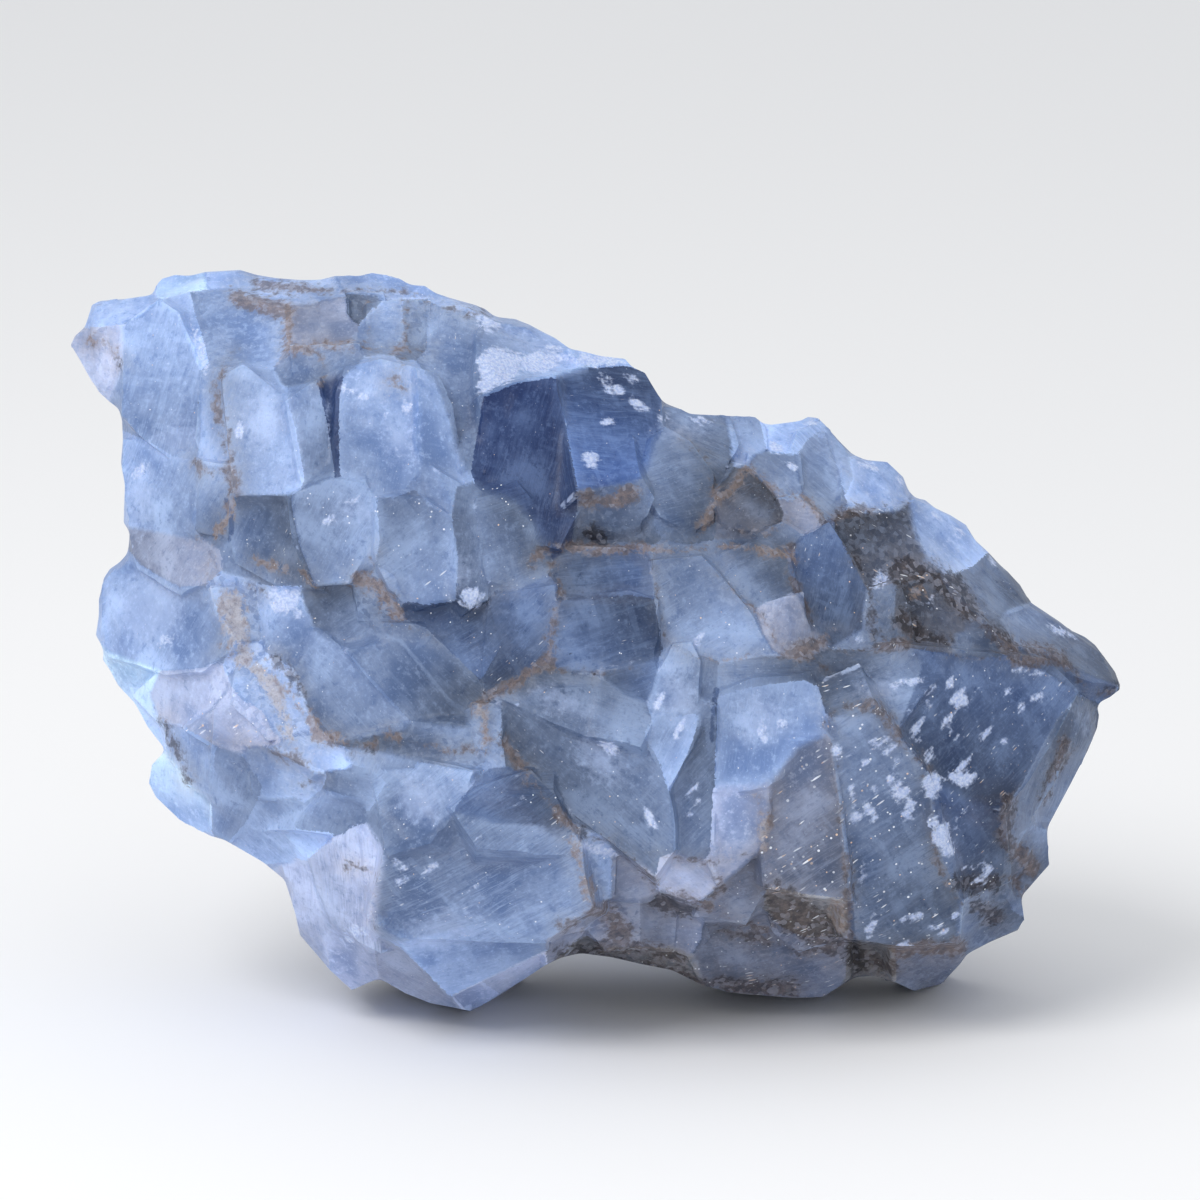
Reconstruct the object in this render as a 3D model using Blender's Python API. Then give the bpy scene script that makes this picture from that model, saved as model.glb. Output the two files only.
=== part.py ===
"""A rough lump of blue calcite, about 150 mm wide, resting on a small flat spot.

The lump is one natural piece: cleavage blocks of calcite grown together. Each block is a convex body that
ends in a flat cleavage face, set out on the rounded form of the lump. All the blocks are joined into one
solid, trimmed to the lump's outline as seen from the front, and ground flat where it rests.

Positions on the front are given on a square drawing, 1200 units wide, with x to the right and y down.
Metres, +Z up, the front faces -Y.
"""

import math

import bmesh
import bpy
import numpy as np
from mathutils import Vector

# ---------------------------------------------------------------- driving dimensions
UNIT = 0.0001428        # metres per drawing unit, at the lump's middle plane
VIEW_ELEVATION = 12.0   # degrees: the drawing looks down on the lump by this much
VIEW_DISTANCE = 0.80    # metres from the drawing's eye to the middle plane
ORIGIN = (0.00064, 0.0057, 0.0572)  # where the middle of the drawing lies
FRONT_BULGE = 0.033     # how far the rounded form comes forward of the middle plane
BACK_BULGE = 0.0275     # and how far it goes back
BLOCK_DEPTH = 0.020     # how deep a block reaches into the lump
SIDE_SLOPE = 0.14       # how much a block widens with depth
RIM_HALF = 0.0008       # half the thickness of the thin slab that carries the outline's small notches
RIM_RUN = (34, 62)      # drawing units along the outline for each facet that falls away behind it
RIM_FALL = (0.011, 0.019)   # how far back such a facet goes
RIM_INWARD = (34, 66)   # and how many drawing units inwards
CORE_INSET = 0.0045     # the core lies this far inside the rounded form
SEED = 41

E = math.radians(VIEW_ELEVATION)
RIGHT = np.array((1.0, 0.0, 0.0))
UP = np.array((0.0, math.sin(E), math.cos(E)))
NEAR = np.array((0.0, -math.cos(E), math.sin(E)))
MIDDLE = np.array(ORIGIN)
EYE = MIDDLE + VIEW_DISTANCE * NEAR

# ---------------------------------------------------------------- the lump's outline on the drawing
OUTLINE = [
    (71, 345), (75, 336), (85, 327), (88, 318), (92, 305), (100, 301), (125, 299), (153, 295), (156, 286),
    (162, 279), (175, 275), (190, 276), (205, 272), (240, 270), (257, 275), (275, 278), (300, 280), (320, 280),
    (335, 276), (360, 276), (372, 273), (385, 275), (400, 279), (410, 285), (425, 286), (435, 293), (450, 298),
    (475, 305), (485, 309), (495, 317), (515, 319), (530, 325), (545, 333), (555, 338), (570, 349), (585, 352),
    (600, 356), (625, 359), (632, 367), (645, 373), (652, 385), (660, 398), (664, 403), (680, 409), (690, 414),
    (730, 416), (755, 417), (762, 423), (770, 425), (800, 421), (808, 417), (818, 418), (825, 425), (840, 442),
    (852, 454), (865, 460), (887, 462), (903, 477), (908, 490), (915, 498), (925, 500), (935, 508), (950, 515),
    (966, 525), (975, 540), (988, 552), (1000, 565), (1008, 572), (1020, 585), (1030, 602), (1060, 622),
    (1070, 630), (1085, 637), (1095, 645), (1105, 658), (1115, 672), (1120, 685), (1119, 690), (1110, 697),
    (1100, 702), (1097, 708), (1099, 715), (1097, 728), (1088, 750), (1070, 785), (1047, 828), (1048, 850),
    (1049, 865), (1040, 875), (1027, 890), (1021, 896), (1024, 918), (1018, 930), (990, 942), (967, 954),
    (960, 964), (941, 984), (914, 991), (895, 982), (874, 976), (855, 977), (837, 988), (822, 997), (794, 998),
    (733, 993), (702, 985), (672, 970), (641, 964), (611, 957), (580, 953), (560, 958), (544, 966), (500, 995),
    (471, 1011), (430, 1003), (405, 993), (379, 978), (352, 990), (330, 970), (300, 935), (295, 912), (285, 880),
    (263, 862), (225, 840), (211, 836), (180, 820), (156, 797), (149, 783), (152, 765), (166, 750), (158, 740),
    (148, 727), (135, 703), (118, 685), (110, 670), (103, 660), (104, 650), (96, 635), (99, 615), (99, 600),
    (104, 578), (110, 569), (120, 562), (128, 553), (130, 532), (124, 523), (124, 510), (125, 485), (121, 463),
    (123, 440), (122, 420), (119, 409), (110, 402), (100, 393), (90, 378), (80, 360),
]

# Rises (mm) of the rounded form: x, y, reach across, reach down, height.
SWELLS = [
    (355, 460, 135, 120, 5.0), (600, 450, 90, 80, 3.0), (930, 770, 120, 120, 5.5), (480, 860, 130, 110, 7.5),
    (760, 790, 120, 110, 2.5), (620, 770, 90, 80, 1.5), (860, 560, 90, 60, -1.5), (640, 925, 60, 40, -3.5),
    (330, 625, 90, 40, -2.5), (150, 370, 70, 60, 1.0), (860, 960, 60, 30, -4.0), (220, 800, 90, 60, 2.0),
]

# ---------------------------------------------------------------- the blocks that show from the front
# name: corners of the cleavage face, height over the rounded form (mm), lean to the right, lean up
FRONT = {
    "tip_slab_upper": ([(88, 327), (92, 303), (125, 298), (155, 294), (160, 300), (143, 318), (105, 326)], 0, -0.1, -0.5),
    "crest_slab_left": ([(155, 297), (158, 282), (172, 275), (205, 272), (208, 288), (165, 298)], 0, 0, -0.6),
    "crest_slab_cyan": ([(203, 273), (240, 270), (257, 275), (262, 288), (208, 290)], 0, 0, -0.6),
    "tip": ([(71, 345), (78, 334), (90, 328), (122, 326), (122, 368), (100, 392), (86, 375)], -1, 0.4, 0.1),
    "left_striated": ([(160, 300), (178, 312), (192, 345), (202, 375), (205, 440), (190, 460), (172, 460), (148, 440),
                       (122, 415), (120, 368), (122, 326), (143, 318)], 1, 0.12, -0.1),
    "left_band": ([(165, 297), (190, 292), (206, 350), (201, 372), (190, 342), (178, 312)], 1.8, -0.1, -0.1),
    "upper_granular": ([(188, 292), (240, 288), (285, 308), (288, 345), (240, 356), (225, 372), (207, 352)], 0.6, 0, -0.25),
    "grey_flank": ([(200, 370), (225, 368), (230, 450), (234, 472), (203, 470), (196, 440)], 0, 0.1, 0),
    "left_pale": ([(122, 440), (150, 443), (172, 460), (192, 460), (200, 470), (196, 510), (195, 540), (126, 524),
                   (122, 480)], 0.6, 0.3, 0),
    "left_dark": ([(195, 462), (232, 468), (238, 500), (228, 535), (196, 530)], -0.6, 0.1, 0.1),
    "hexagon": ([(222, 375), (240, 366), (290, 404), (298, 430), (304, 478), (286, 494), (235, 496), (228, 450)], 5.0, -0.05, -0.05),
    "hexagon_side": ([(288, 402), (316, 383), (328, 420), (336, 474), (306, 482), (299, 430)], 2.6, -0.4, 0),
    "column": ([(336, 395), (348, 366), (380, 361), (420, 371), (424, 420), (420, 470), (395, 500), (370, 492),
                (341, 472), (337, 430)], 5.0, -0.03, -0.05),
    "column_right": ([(420, 372), (440, 378), (455, 420), (463, 480), (448, 522), (425, 502), (421, 440)], 3.6, -0.3, 0),
    "low_pale": ([(290, 500), (330, 480), (366, 480), (376, 500), (380, 545), (350, 582), (315, 585), (296, 545)], 4.8, 0, 0.08),
    "low_dark": ([(230, 494), (290, 496), (297, 545), (314, 586), (270, 582), (238, 562), (230, 530)], 3.0, 0.1, 0.1),
    "streaked": ([(378, 500), (395, 496), (425, 500), (450, 520), (461, 560), (452, 600), (425, 606), (395, 592),
                  (380, 552)], 4.8, -0.1, 0.08),
    "sliver": ([(452, 480), (470, 492), (486, 540), (487, 600), (470, 609), (458, 592), (455, 540)], 4.4, -0.3, 0),
    "grey_shelf": ([(478, 500), (520, 488), (546, 520), (541, 560), (515, 586), (488, 582), (480, 540)], 2.6, -0.25, 0.05),
    "granular_top": ([(425, 300), (470, 304), (490, 318), (486, 360), (481, 400), (462, 470), (440, 400), (425, 370)], 2.0, -0.1, -0.22),
    "navy_left": ([(485, 395), (515, 378), (556, 374), (577, 480), (580, 512), (560, 550), (535, 542), (500, 502),
                   (480, 470)], 4.0, -0.05, 0),
    "navy_right": ([(557, 373), (590, 365), (628, 361), (646, 374), (660, 400), (660, 430), (652, 465), (636, 482),
                    (600, 489), (577, 491), (566, 430)], 4.8, -0.18, -0.05),
    "crest_bruised": ([(476, 335), (495, 317), (530, 324), (560, 340), (572, 350), (590, 356), (588, 372), (556, 377),
                       (515, 382), (485, 397), (476, 370)], 3.2, -0.05, -0.45),
    "crest_cyan_right": ([(572, 349), (600, 355), (626, 358), (641, 371), (628, 366), (590, 371)], 3.0, 0, -0.5),
    "under_navy": ([(577, 489), (600, 487), (640, 480), (652, 500), (642, 532), (610, 545), (580, 548), (573, 515)], 0.6, 0, 0.3),
    "grey_gem": ([(652, 440), (665, 431), (690, 445), (713, 475), (711, 520), (690, 531), (660, 516), (640, 487)], 2.6, -0.1, -0.05),
    "saddle_navy": ([(664, 408), (690, 414), (728, 416), (736, 445), (722, 475), (712, 477), (690, 446), (664, 430)], 0.6, 0, -0.35),
    "crest_pale": ([(722, 417), (757, 417), (763, 424), (765, 450), (748, 467), (728, 452)], 0.6, 0, -0.45),
    "crest_stepped": ([(757, 421), (800, 421), (808, 417), (822, 420), (826, 440), (800, 460), (770, 454)], 0, -0.1, -0.5),
    "upper_navy": ([(750, 452), (800, 450), (806, 496), (790, 506), (765, 484), (748, 469)], -0.3, 0, -0.1),
    "upper_stripes": ([(798, 430), (820, 422), (840, 470), (846, 502), (822, 514), (800, 500), (790, 462)], 0.8, -0.25, -0.3),
    "olive_crest": ([(822, 420), (838, 440), (852, 455), (862, 478), (846, 500), (838, 470)], 0, -0.2, -0.4),
    "right_crest_pale": ([(845, 455), (866, 460), (888, 463), (903, 477), (908, 492), (895, 512), (860, 510), (845, 500)], 0.2, -0.2, -0.45),
    "brown_gem": ([(715, 500), (728, 493), (746, 467), (763, 480), (786, 515), (762, 532), (740, 531), (722, 522)], 2.8, -0.1, 0),
    "tan_gem": ([(780, 500), (800, 496), (819, 515), (818, 527), (800, 534), (784, 522)], 2.2, 0, 0),
    "lavender_chip": ([(757, 533), (786, 523), (802, 534), (795, 547), (765, 547)], 1.6, 0, 0),
    "blue_chip": ([(713, 560), (745, 545), (786, 557), (793, 590), (760, 603), (735, 593), (718, 579)], 1.6, 0, 0.05),
    "deep_navy": ([(790, 545), (828, 526), (852, 560), (868, 592), (872, 640), (838, 632), (808, 623), (799, 590),
                   (789, 572)], 2.6, -0.08, 0.05),
    "tan_chip": ([(763, 605), (800, 595), (813, 640), (800, 657), (770, 652), (760, 630)], 2.8, 0.1, 0),
    "grey_green": ([(655, 560), (700, 557), (732, 591), (779, 655), (722, 665), (690, 656), (665, 640), (655, 600)], 2.4, 0, 0.05),
    "brown_rough": ([(850, 512), (905, 508), (915, 530), (930, 558), (900, 582), (868, 592), (852, 560), (838, 530)], -0.3, 0, 0),
    "right_shoulder": ([(915, 500), (936, 508), (966, 525), (988, 553), (976, 572), (950, 578), (925, 560), (912, 530)], 1.6, -0.35, -0.4),
    "right_mid": ([(988, 553), (1008, 572), (1031, 602), (1006, 612), (975, 614), (945, 602), (940, 576), (976, 571)], 0.8, -0.3, -0.3),
    "brown_hollow": ([(895, 575), (940, 575), (975, 612), (1000, 640), (950, 657), (905, 647), (880, 620)], -1.2, 0, 0),
    "tan_right": ([(908, 585), (925, 578), (936, 592), (930, 605), (912, 607)], 0.8, 0, 0),
    "mid_right": ([(862, 592), (900, 580), (912, 640), (880, 652), (850, 640)], 1.2, 0, 0.05),
    "right_tip": ([(1005, 610), (1031, 602), (1062, 622), (1097, 646), (1120, 686), (1095, 682), (1075, 657),
                   (1050, 650), (1015, 648)], 0.8, -0.3, -0.35),
    "right_tip_under": ([(1005, 645), (1052, 652), (1080, 670), (1120, 684), (1118, 690), (1100, 702), (1080, 697),
                         (1050, 674), (1005, 666)], -0.6, -0.2, 0.2),
    "pink_gem": ([(935, 612), (975, 612), (1012, 640), (1000, 662), (955, 661), (930, 640)], 0.8, 0, 0),
    "right_block_left": ([(826, 668), (860, 655), (910, 648), (945, 655), (925, 692), (897, 733), (876, 704), (840, 713),
                          (823, 704)], 3.8, 0.05, -0.15),
    "right_block": ([(910, 648), (997, 654), (1047, 659), (1079, 690), (1052, 724), (1026, 786), (1003, 815),
                     (960, 802), (927, 772), (897, 733)], 4.6, -0.1, -0.05),
    "right_block_low": ([(927, 772), (960, 790), (1003, 812), (998, 837), (1010, 880), (962, 903), (935, 860), (928, 820)], 4.4, -0.1, 0.05),
    "olive_block": ([(832, 724), (875, 705), (897, 733), (929, 772), (940, 830), (950, 880), (962, 902), (958, 942),
                     (903, 948), (849, 941), (845, 880), (838, 790)], 5.2, 0.02, 0.02),
    "right_slab_outer": ([(1077, 692), (1097, 704), (1099, 715), (1096, 730), (1072, 782), (1048, 828), (1034, 815),
                          (1050, 770)], -1.5, -0.7, 0),
    "right_slab_inner": ([(1053, 715), (1078, 698), (1086, 715), (1060, 770), (1034, 815), (1014, 850), (1000, 836),
                          (1008, 800), (1027, 785)], 2.0, -0.45, 0),
    "right_low_grey": ([(1018, 830), (1047, 828), (1049, 864), (1030, 888), (1008, 890), (1002, 860)], -1.5, -0.3, 0),
    "right_low_olive": ([(1003, 850), (1030, 850), (1036, 880), (1022, 897), (1025, 918), (1005, 926), (992, 890)], -1.0, -0.2, 0.1),
    "right_foot": ([(958, 900), (1000, 880), (1022, 898), (1025, 920), (1016, 931), (990, 942), (967, 955), (955, 942)], 0.4, -0.1, 0.35),
    "right_heel": ([(890, 945), (958, 941), (967, 954), (960, 966), (941, 985), (914, 992), (895, 983)], 0.4, 0, 0.5),
    "right_hollow": ([(845, 938), (900, 945), (898, 983), (874, 977), (855, 978), (840, 988)], -4, 0, 0.5),
    "foot_teal": ([(700, 925), (770, 915), (850, 935), (850, 980), (837, 989), (822, 998), (794, 999), (733, 994),
                   (702, 986), (690, 960)], 0.6, 0, 0.35),
    "foot_pale": ([(670, 915), (700, 911), (707, 940), (690, 957), (666, 947)], 1.2, 0, 0.1),
    "brown_recess": ([(768, 885), (800, 890), (850, 898), (847, 940), (800, 952), (772, 930)], -1.5, 0, 0.3),
    "grey_triangle": ([(760, 852), (765, 890), (745, 926), (694, 917), (699, 900)], 3.0, 0, 0.25),
    "streaked_plate": ([(790, 744), (829, 741), (833, 786), (840, 799), (847, 853), (851, 901), (799, 896), (766, 887),
                        (761, 853), (768, 809), (772, 783)], 5.6, -0.03, -0.05),
    "pale_plate": ([(717, 697), (753, 683), (805, 677), (822, 703), (817, 734), (790, 757), (772, 783), (749, 789),
                    (713, 787)], 5.2, 0, -0.06),
    "pale_plate_low": ([(712, 785), (749, 787), (770, 783), (768, 810), (756, 853), (720, 887), (709, 865)], 4.8, 0, 0.1),
    "plate_ledge": ([(720, 663), (760, 654), (815, 663), (823, 680), (803, 680), (753, 686), (716, 696)], 2.8, 0, -0.35),
    "bright_upper": ([(673, 646), (691, 644), (700, 664), (698, 712), (653, 723), (648, 701), (660, 673)], 4.2, 0.1, -0.2),
    "bright_lower": ([(642, 731), (653, 721), (702, 712), (690, 751), (677, 768), (668, 791), (660, 756)], 4.4, 0.1, 0.1),
    "gap_band": ([(698, 650), (720, 658), (717, 720), (714, 792), (700, 770), (696, 712)], 2.4, 0, 0),
    "navy_wedge": ([(673, 788), (690, 750), (702, 714), (714, 712), (714, 777), (711, 853), (690, 860), (674, 849)], 3.6, 0.25, 0),
    "big_teal": ([(505, 702), (560, 690), (600, 692), (642, 735), (662, 757), (668, 790), (674, 849), (654, 876),
                  (614, 838), (560, 802), (520, 764), (500, 735)], 4.0, 0.04, -0.02),
    "teal_shelf": ([(498, 696), (545, 663), (602, 679), (642, 699), (652, 721), (640, 747), (600, 737), (545, 717)], 4.2, 0, -0.3),
    "navy_chip": ([(600, 672), (652, 661), (657, 680), (648, 703), (625, 702), (610, 684)], 3.2, 0, -0.05),
    "mid_block": ([(566, 550), (625, 548), (647, 560), (655, 597), (600, 599), (559, 599)], 3.0, 0, -0.1),
    "arc_block": ([(559, 600), (630, 592), (654, 600), (657, 640), (650, 662), (620, 670), (560, 670), (546, 660),
                   (555, 620)], 3.6, 0, 0.03),
    "teal_slope": ([(490, 600), (555, 588), (553, 640), (545, 665), (500, 697), (485, 690), (518, 650)], 2.2, 0.05, 0),
    "under_ledge_navy": ([(400, 605), (488, 602), (520, 650), (478, 677), (430, 637)], 1.0, 0, -0.1),
    "lavender_strip": ([(385, 625), (428, 625), (452, 650), (480, 680), (489, 703), (450, 703), (420, 662)], 2.8, -0.1, 0),
    "under_ledge_left": ([(298, 590), (345, 581), (366, 600), (363, 640), (352, 657), (330, 642), (298, 617)], 0.6, 0, -0.1),
    "orange_patch": ([(354, 574), (402, 571), (404, 600), (392, 622), (360, 620)], 0.6, 0, 0),
    "ridge_pale": ([(300, 616), (332, 640), (352, 655), (412, 722), (405, 739), (340, 742), (305, 706), (298, 660)], 3.6, 0.05, -0.1),
    "navy_strip": ([(350, 655), (402, 638), (452, 703), (470, 730), (410, 723)], 2.2, -0.1, 0),
    "tan_column": ([(474, 705), (498, 703), (502, 731), (496, 753), (473, 747)], 4.2, 0, 0),
    "granular_low": ([(410, 722), (472, 727), (476, 745), (472, 772), (420, 763), (368, 750), (340, 742)], 2.6, 0, 0.1),
    "left_lobe": ([(127, 530), (160, 533), (196, 541), (207, 560), (200, 581), (180, 593), (160, 583), (136, 567)], 0.6, 0.3, -0.1),
    "left_bulge": ([(128, 553), (165, 586), (200, 591), (215, 620), (237, 645), (200, 670), (165, 672), (104, 653),
                    (96, 630), (100, 587)], 2.4, 0.3, -0.1),
    "tan_left": ([(213, 590), (252, 588), (262, 620), (260, 642), (236, 647), (215, 622)], 1.2, 0, 0),
    "tan_left_low": ([(230, 640), (264, 640), (264, 673), (230, 670)], 1.6, 0.1, 0),
    "lavender_lens": ([(133, 695), (160, 670), (216, 666), (228, 690), (216, 714), (185, 726), (157, 721)], 2.8, 0.22, 0),
    "left_edge": ([(100, 645), (160, 671), (133, 695), (158, 722), (166, 750), (148, 728), (118, 685), (103, 662)], -1.0, 0.5, 0.1),
    "sparkling_left": ([(200, 712), (228, 688), (276, 700), (280, 746), (215, 747), (188, 728)], 2.4, 0.1, 0),
    "star_bruise": ([(260, 590), (300, 587), (320, 615), (302, 622), (299, 662), (268, 657), (257, 620)], 2.4, 0.05, -0.05),
    "sand_patch": ([(234, 650), (275, 654), (305, 700), (313, 736), (270, 737), (234, 702)], 2.8, 0.05, 0),
    "left_low_strip": ([(164, 720), (216, 744), (213, 806), (188, 784), (168, 755)], 2.0, 0.25, 0.1),
    "navy_triangle": ([(214, 743), (272, 783), (249, 828), (228, 844), (211, 833)], 2.8, 0.15, 0.12),
    "left_foot": ([(166, 751), (188, 783), (212, 806), (213, 839), (180, 821), (155, 797), (148, 782), (152, 764)], 1.4, 0.4, 0.25),
    "mid_low_left": ([(248, 748), (278, 747), (327, 775), (302, 792), (275, 802), (256, 802)], 2.6, 0.1, 0.05),
    "lavender_ridge": ([(276, 746), (303, 727), (344, 752), (347, 768), (314, 772)], 4.2, 0.05, -0.1),
    "lavender_ridge_right": ([(345, 754), (368, 747), (423, 760), (418, 774), (368, 770)], 4.4, 0, -0.1),
    "lavender_under_ridge": ([(326, 772), (368, 768), (420, 772), (400, 792), (372, 802), (334, 794)], 3.6, 0, 0.05),
    "corner_face": ([(370, 770), (422, 761), (472, 771), (456, 808), (430, 842), (386, 852), (378, 805)], 5.0, 0.1, -0.2),
    "slate_triangle": ([(291, 828), (334, 791), (360, 797), (347, 835)], 3.6, 0, 0),
    "bright_triangle": ([(280, 829), (334, 832), (306, 862)], 4.0, 0.1, 0.05),
    "left_cluster": ([(248, 827), (258, 790), (293, 800), (293, 828), (281, 830), (291, 862), (262, 863), (226, 843)], 2.4, 0.2, 0.2),
    "striated_lavender": ([(307, 859), (350, 828), (381, 850), (378, 900), (372, 952), (340, 932), (314, 892)], 4.4, 0.12, 0.08),
    "left_low_pale": ([(283, 868), (308, 859), (323, 900), (326, 962), (300, 936), (294, 905)], 2.0, 0.3, 0.2),
    "left_low_tip": ([(322, 940), (340, 930), (373, 950), (379, 979), (352, 992), (330, 971)], 2.0, 0.1, 0.4),
    "big_face": ([(385, 850), (430, 838), (480, 800), (552, 798), (582, 850), (592, 905), (546, 941), (478, 906),
                  (400, 943), (372, 927)], 6.0, 0.02, -0.05),
    "big_face_navy": ([(453, 808), (478, 788), (530, 772), (562, 798), (574, 850), (540, 852), (478, 846)], 5.4, -0.1, -0.12),
    "bottom_rhomb": ([(398, 942), (478, 905), (546, 939), (546, 950), (451, 997)], 6.2, 0, 0.4),
    "bottom_under_left": ([(450, 994), (482, 980), (502, 995), (471, 1012), (460, 1009)], 3.6, 0, 0.8),
    "bottom_under_right": ([(480, 981), (546, 950), (549, 967), (501, 996)], 2.6, 0, 0.8),
    "bottom_dark": ([(374, 941), (400, 950), (456, 1001), (466, 1012), (430, 1005), (404, 994), (379, 979)], 2.6, 0, 0.5),
    "bottom_right_edge": ([(545, 940), (575, 924), (583, 930), (565, 956), (547, 967)], 3.6, -0.3, 0.3),
    "grainy_lavender": ([(568, 838), (600, 834), (614, 860), (612, 898), (580, 906), (568, 870)], 4.0, 0, 0),
    "grey_pale_low": ([(610, 854), (652, 868), (657, 892), (640, 902), (611, 899)], 3.4, 0, 0.05),
    "brown_low": ([(588, 902), (642, 900), (642, 949), (605, 950), (590, 930)], 1.8, 0, 0.3),
    "navy_low": ([(638, 900), (665, 889), (674, 915), (670, 951), (638, 949)], 1.6, 0, 0.2),
    "notch": ([(546, 964), (575, 940), (602, 944), (607, 955), (580, 955)], -2.5, 0, 0.5),
    "foot_brown": ([(603, 944), (672, 944), (702, 958), (704, 987), (672, 972), (611, 959)], -0.6, 0, 0.5),
    "wedge_pale": ([(653, 850), (690, 857), (713, 864), (720, 887), (702, 902), (658, 890)], 4.0, 0, 0.1),
    "tan_crystal_top": ([(284, 305), (320, 301), (323, 350), (287, 351)], 0.8, 0, -0.3),
    "lavender_top": ([(320, 299), (347, 297), (348, 350), (322, 351)], 1.2, -0.05, -0.3),
    "brown_top": ([(290, 348), (357, 344), (358, 372), (322, 384), (292, 376)], 1.6, 0, 0),
    "pit_top": ([(345, 292), (381, 291), (382, 314), (347, 315)], -1.0, 0, -0.3),
    "quartered_top": ([(367, 303), (404, 299), (407, 346), (370, 350)], 2.0, 0, -0.25),
    "brown_top_right": ([(400, 299), (428, 298), (429, 350), (403, 354)], 1.4, 0, -0.25),
    "crest_left": ([(258, 275), (300, 279), (335, 275), (346, 296), (300, 304), (260, 296)], 0, 0, -0.6),
    "crest_middle": ([(335, 275), (372, 272), (400, 278), (425, 285), (428, 300), (380, 300), (346, 295)], 0.2, 0, -0.6),
    "crest_right": ([(425, 285), (450, 297), (485, 308), (498, 318), (480, 330), (428, 304)], 0.4, -0.1, -0.55),
}

# The blocks that don't show from the front: how many, and their sizes.
HIDDEN_BLOCKS = 56
HIDDEN_RADIUS = (0.0085, 0.0150)
HIDDEN_DEPTH = 0.021
HIDDEN_SLOPE = 0.42
HIDDEN_LEAN = 0.15

# The feet: plan outlines (mm) of the cleavage corners that the lump rests on, ground flat at z = 0.
FEET = {
    "foot_left": [(-30, 9), (-28, -7), (-13, -11), (-7, -1), (-9, 15), (-22, 20)],
    "foot_middle": [(14, 8), (18, -5), (33, -7), (39, 7), (35, 20), (20, 19)],
    "foot_right": [(41, 10), (43, 0), (52, -1), (56, 12), (47, 19)],
}
FOOT_HEIGHT = 0.017
FOOT_SLOPE = 0.55


# ---------------------------------------------------------------- the rounded form
def inside_outline(px, py):
    """Which points of the drawing lie inside the outline."""
    hit = np.zeros(px.shape, bool)
    for (x0, y0), (x1, y1) in zip(OUTLINE, OUTLINE[1:] + OUTLINE[:1]):
        if y0 == y1:
            continue
        crosses = (y0 > py) != (y1 > py)
        hit ^= crosses & (px < (x1 - x0) * (py - y0) / (y1 - y0) + x0)
    return hit


STEP = 10
GX, GY = np.meshgrid(np.arange(0, 1201, STEP), np.arange(0, 1201, STEP))
WITHIN = inside_outline(GX.astype(float), GY.astype(float))


def inflate():
    """A height over the outline, 0 at its edge and 1 at its deepest point, round like a cushion."""
    h = np.zeros(GX.shape)
    for _ in range(2500):
        around = np.zeros_like(h)
        around[1:-1, 1:-1] = (h[:-2, 1:-1] + h[2:, 1:-1] + h[1:-1, :-2] + h[1:-1, 2:]) / 4 + 1.0
        h = np.where(WITHIN, around, 0.0)
    return np.sqrt(h / h.max())


FORM = inflate()


def sample(grid, x, y):
    x = np.clip(np.asarray(x, float) / STEP, 0, grid.shape[1] - 1.001)
    y = np.clip(np.asarray(y, float) / STEP, 0, grid.shape[0] - 1.001)
    i, j = x.astype(int), y.astype(int)
    fx, fy = x - i, y - j
    return ((grid[j, i] * (1 - fx) + grid[j, i + 1] * fx) * (1 - fy)
            + (grid[j + 1, i] * (1 - fx) + grid[j + 1, i + 1] * fx) * fy)


def front_height(x, y):
    """Metres that the rounded form stands forward of the middle plane at a point of the drawing."""
    w = FRONT_BULGE * sample(FORM, x, y)
    for cx, cy, rx, ry, mm in SWELLS:
        w = w + 0.001 * mm * np.exp(-(((np.asarray(x) - cx) / rx) ** 2) - ((np.asarray(y) - cy) / ry) ** 2)
    return w


def back_height(x, y):
    return -BACK_BULGE * sample(FORM, x, y)


def drawn(x, y, w):
    """The point in space seen at (x, y) of the drawing, w metres forward of the middle plane."""
    shrink = (VIEW_DISTANCE - w) / VIEW_DISTANCE
    return MIDDLE + ((x - 600) * UNIT * RIGHT + (600 - y) * UNIT * UP) * shrink + w * NEAR


# ---------------------------------------------------------------- blocks
def hull_mesh(name, points):
    mesh = bpy.data.meshes.new(name)
    bm = bmesh.new()
    verts = [bm.verts.new(Vector([float(c) for c in p])) for p in points]
    made = bmesh.ops.convex_hull(bm, input=verts)
    loose = list({v for v in made["geom_interior"] + made["geom_unused"] if isinstance(v, bmesh.types.BMVert)})
    bmesh.ops.delete(bm, geom=loose, context="VERTS")
    bmesh.ops.dissolve_limit(bm, angle_limit=0.002, verts=bm.verts[:], edges=bm.edges[:])
    bmesh.ops.recalc_face_normals(bm, faces=bm.faces[:])
    bm.to_mesh(mesh)
    bm.free()
    return mesh


def block_points(face, normal, depth, slope):
    """The corners of a block: its cleavage face, and a larger copy of it deeper down."""
    face = np.array(face)
    middle = face.mean(axis=0)
    reach = np.linalg.norm(face - middle, axis=1).mean()
    wider = 1.0 + slope * depth / reach
    base = middle + (face - middle) * wider - normal * depth
    return np.vstack([face, base])


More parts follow.
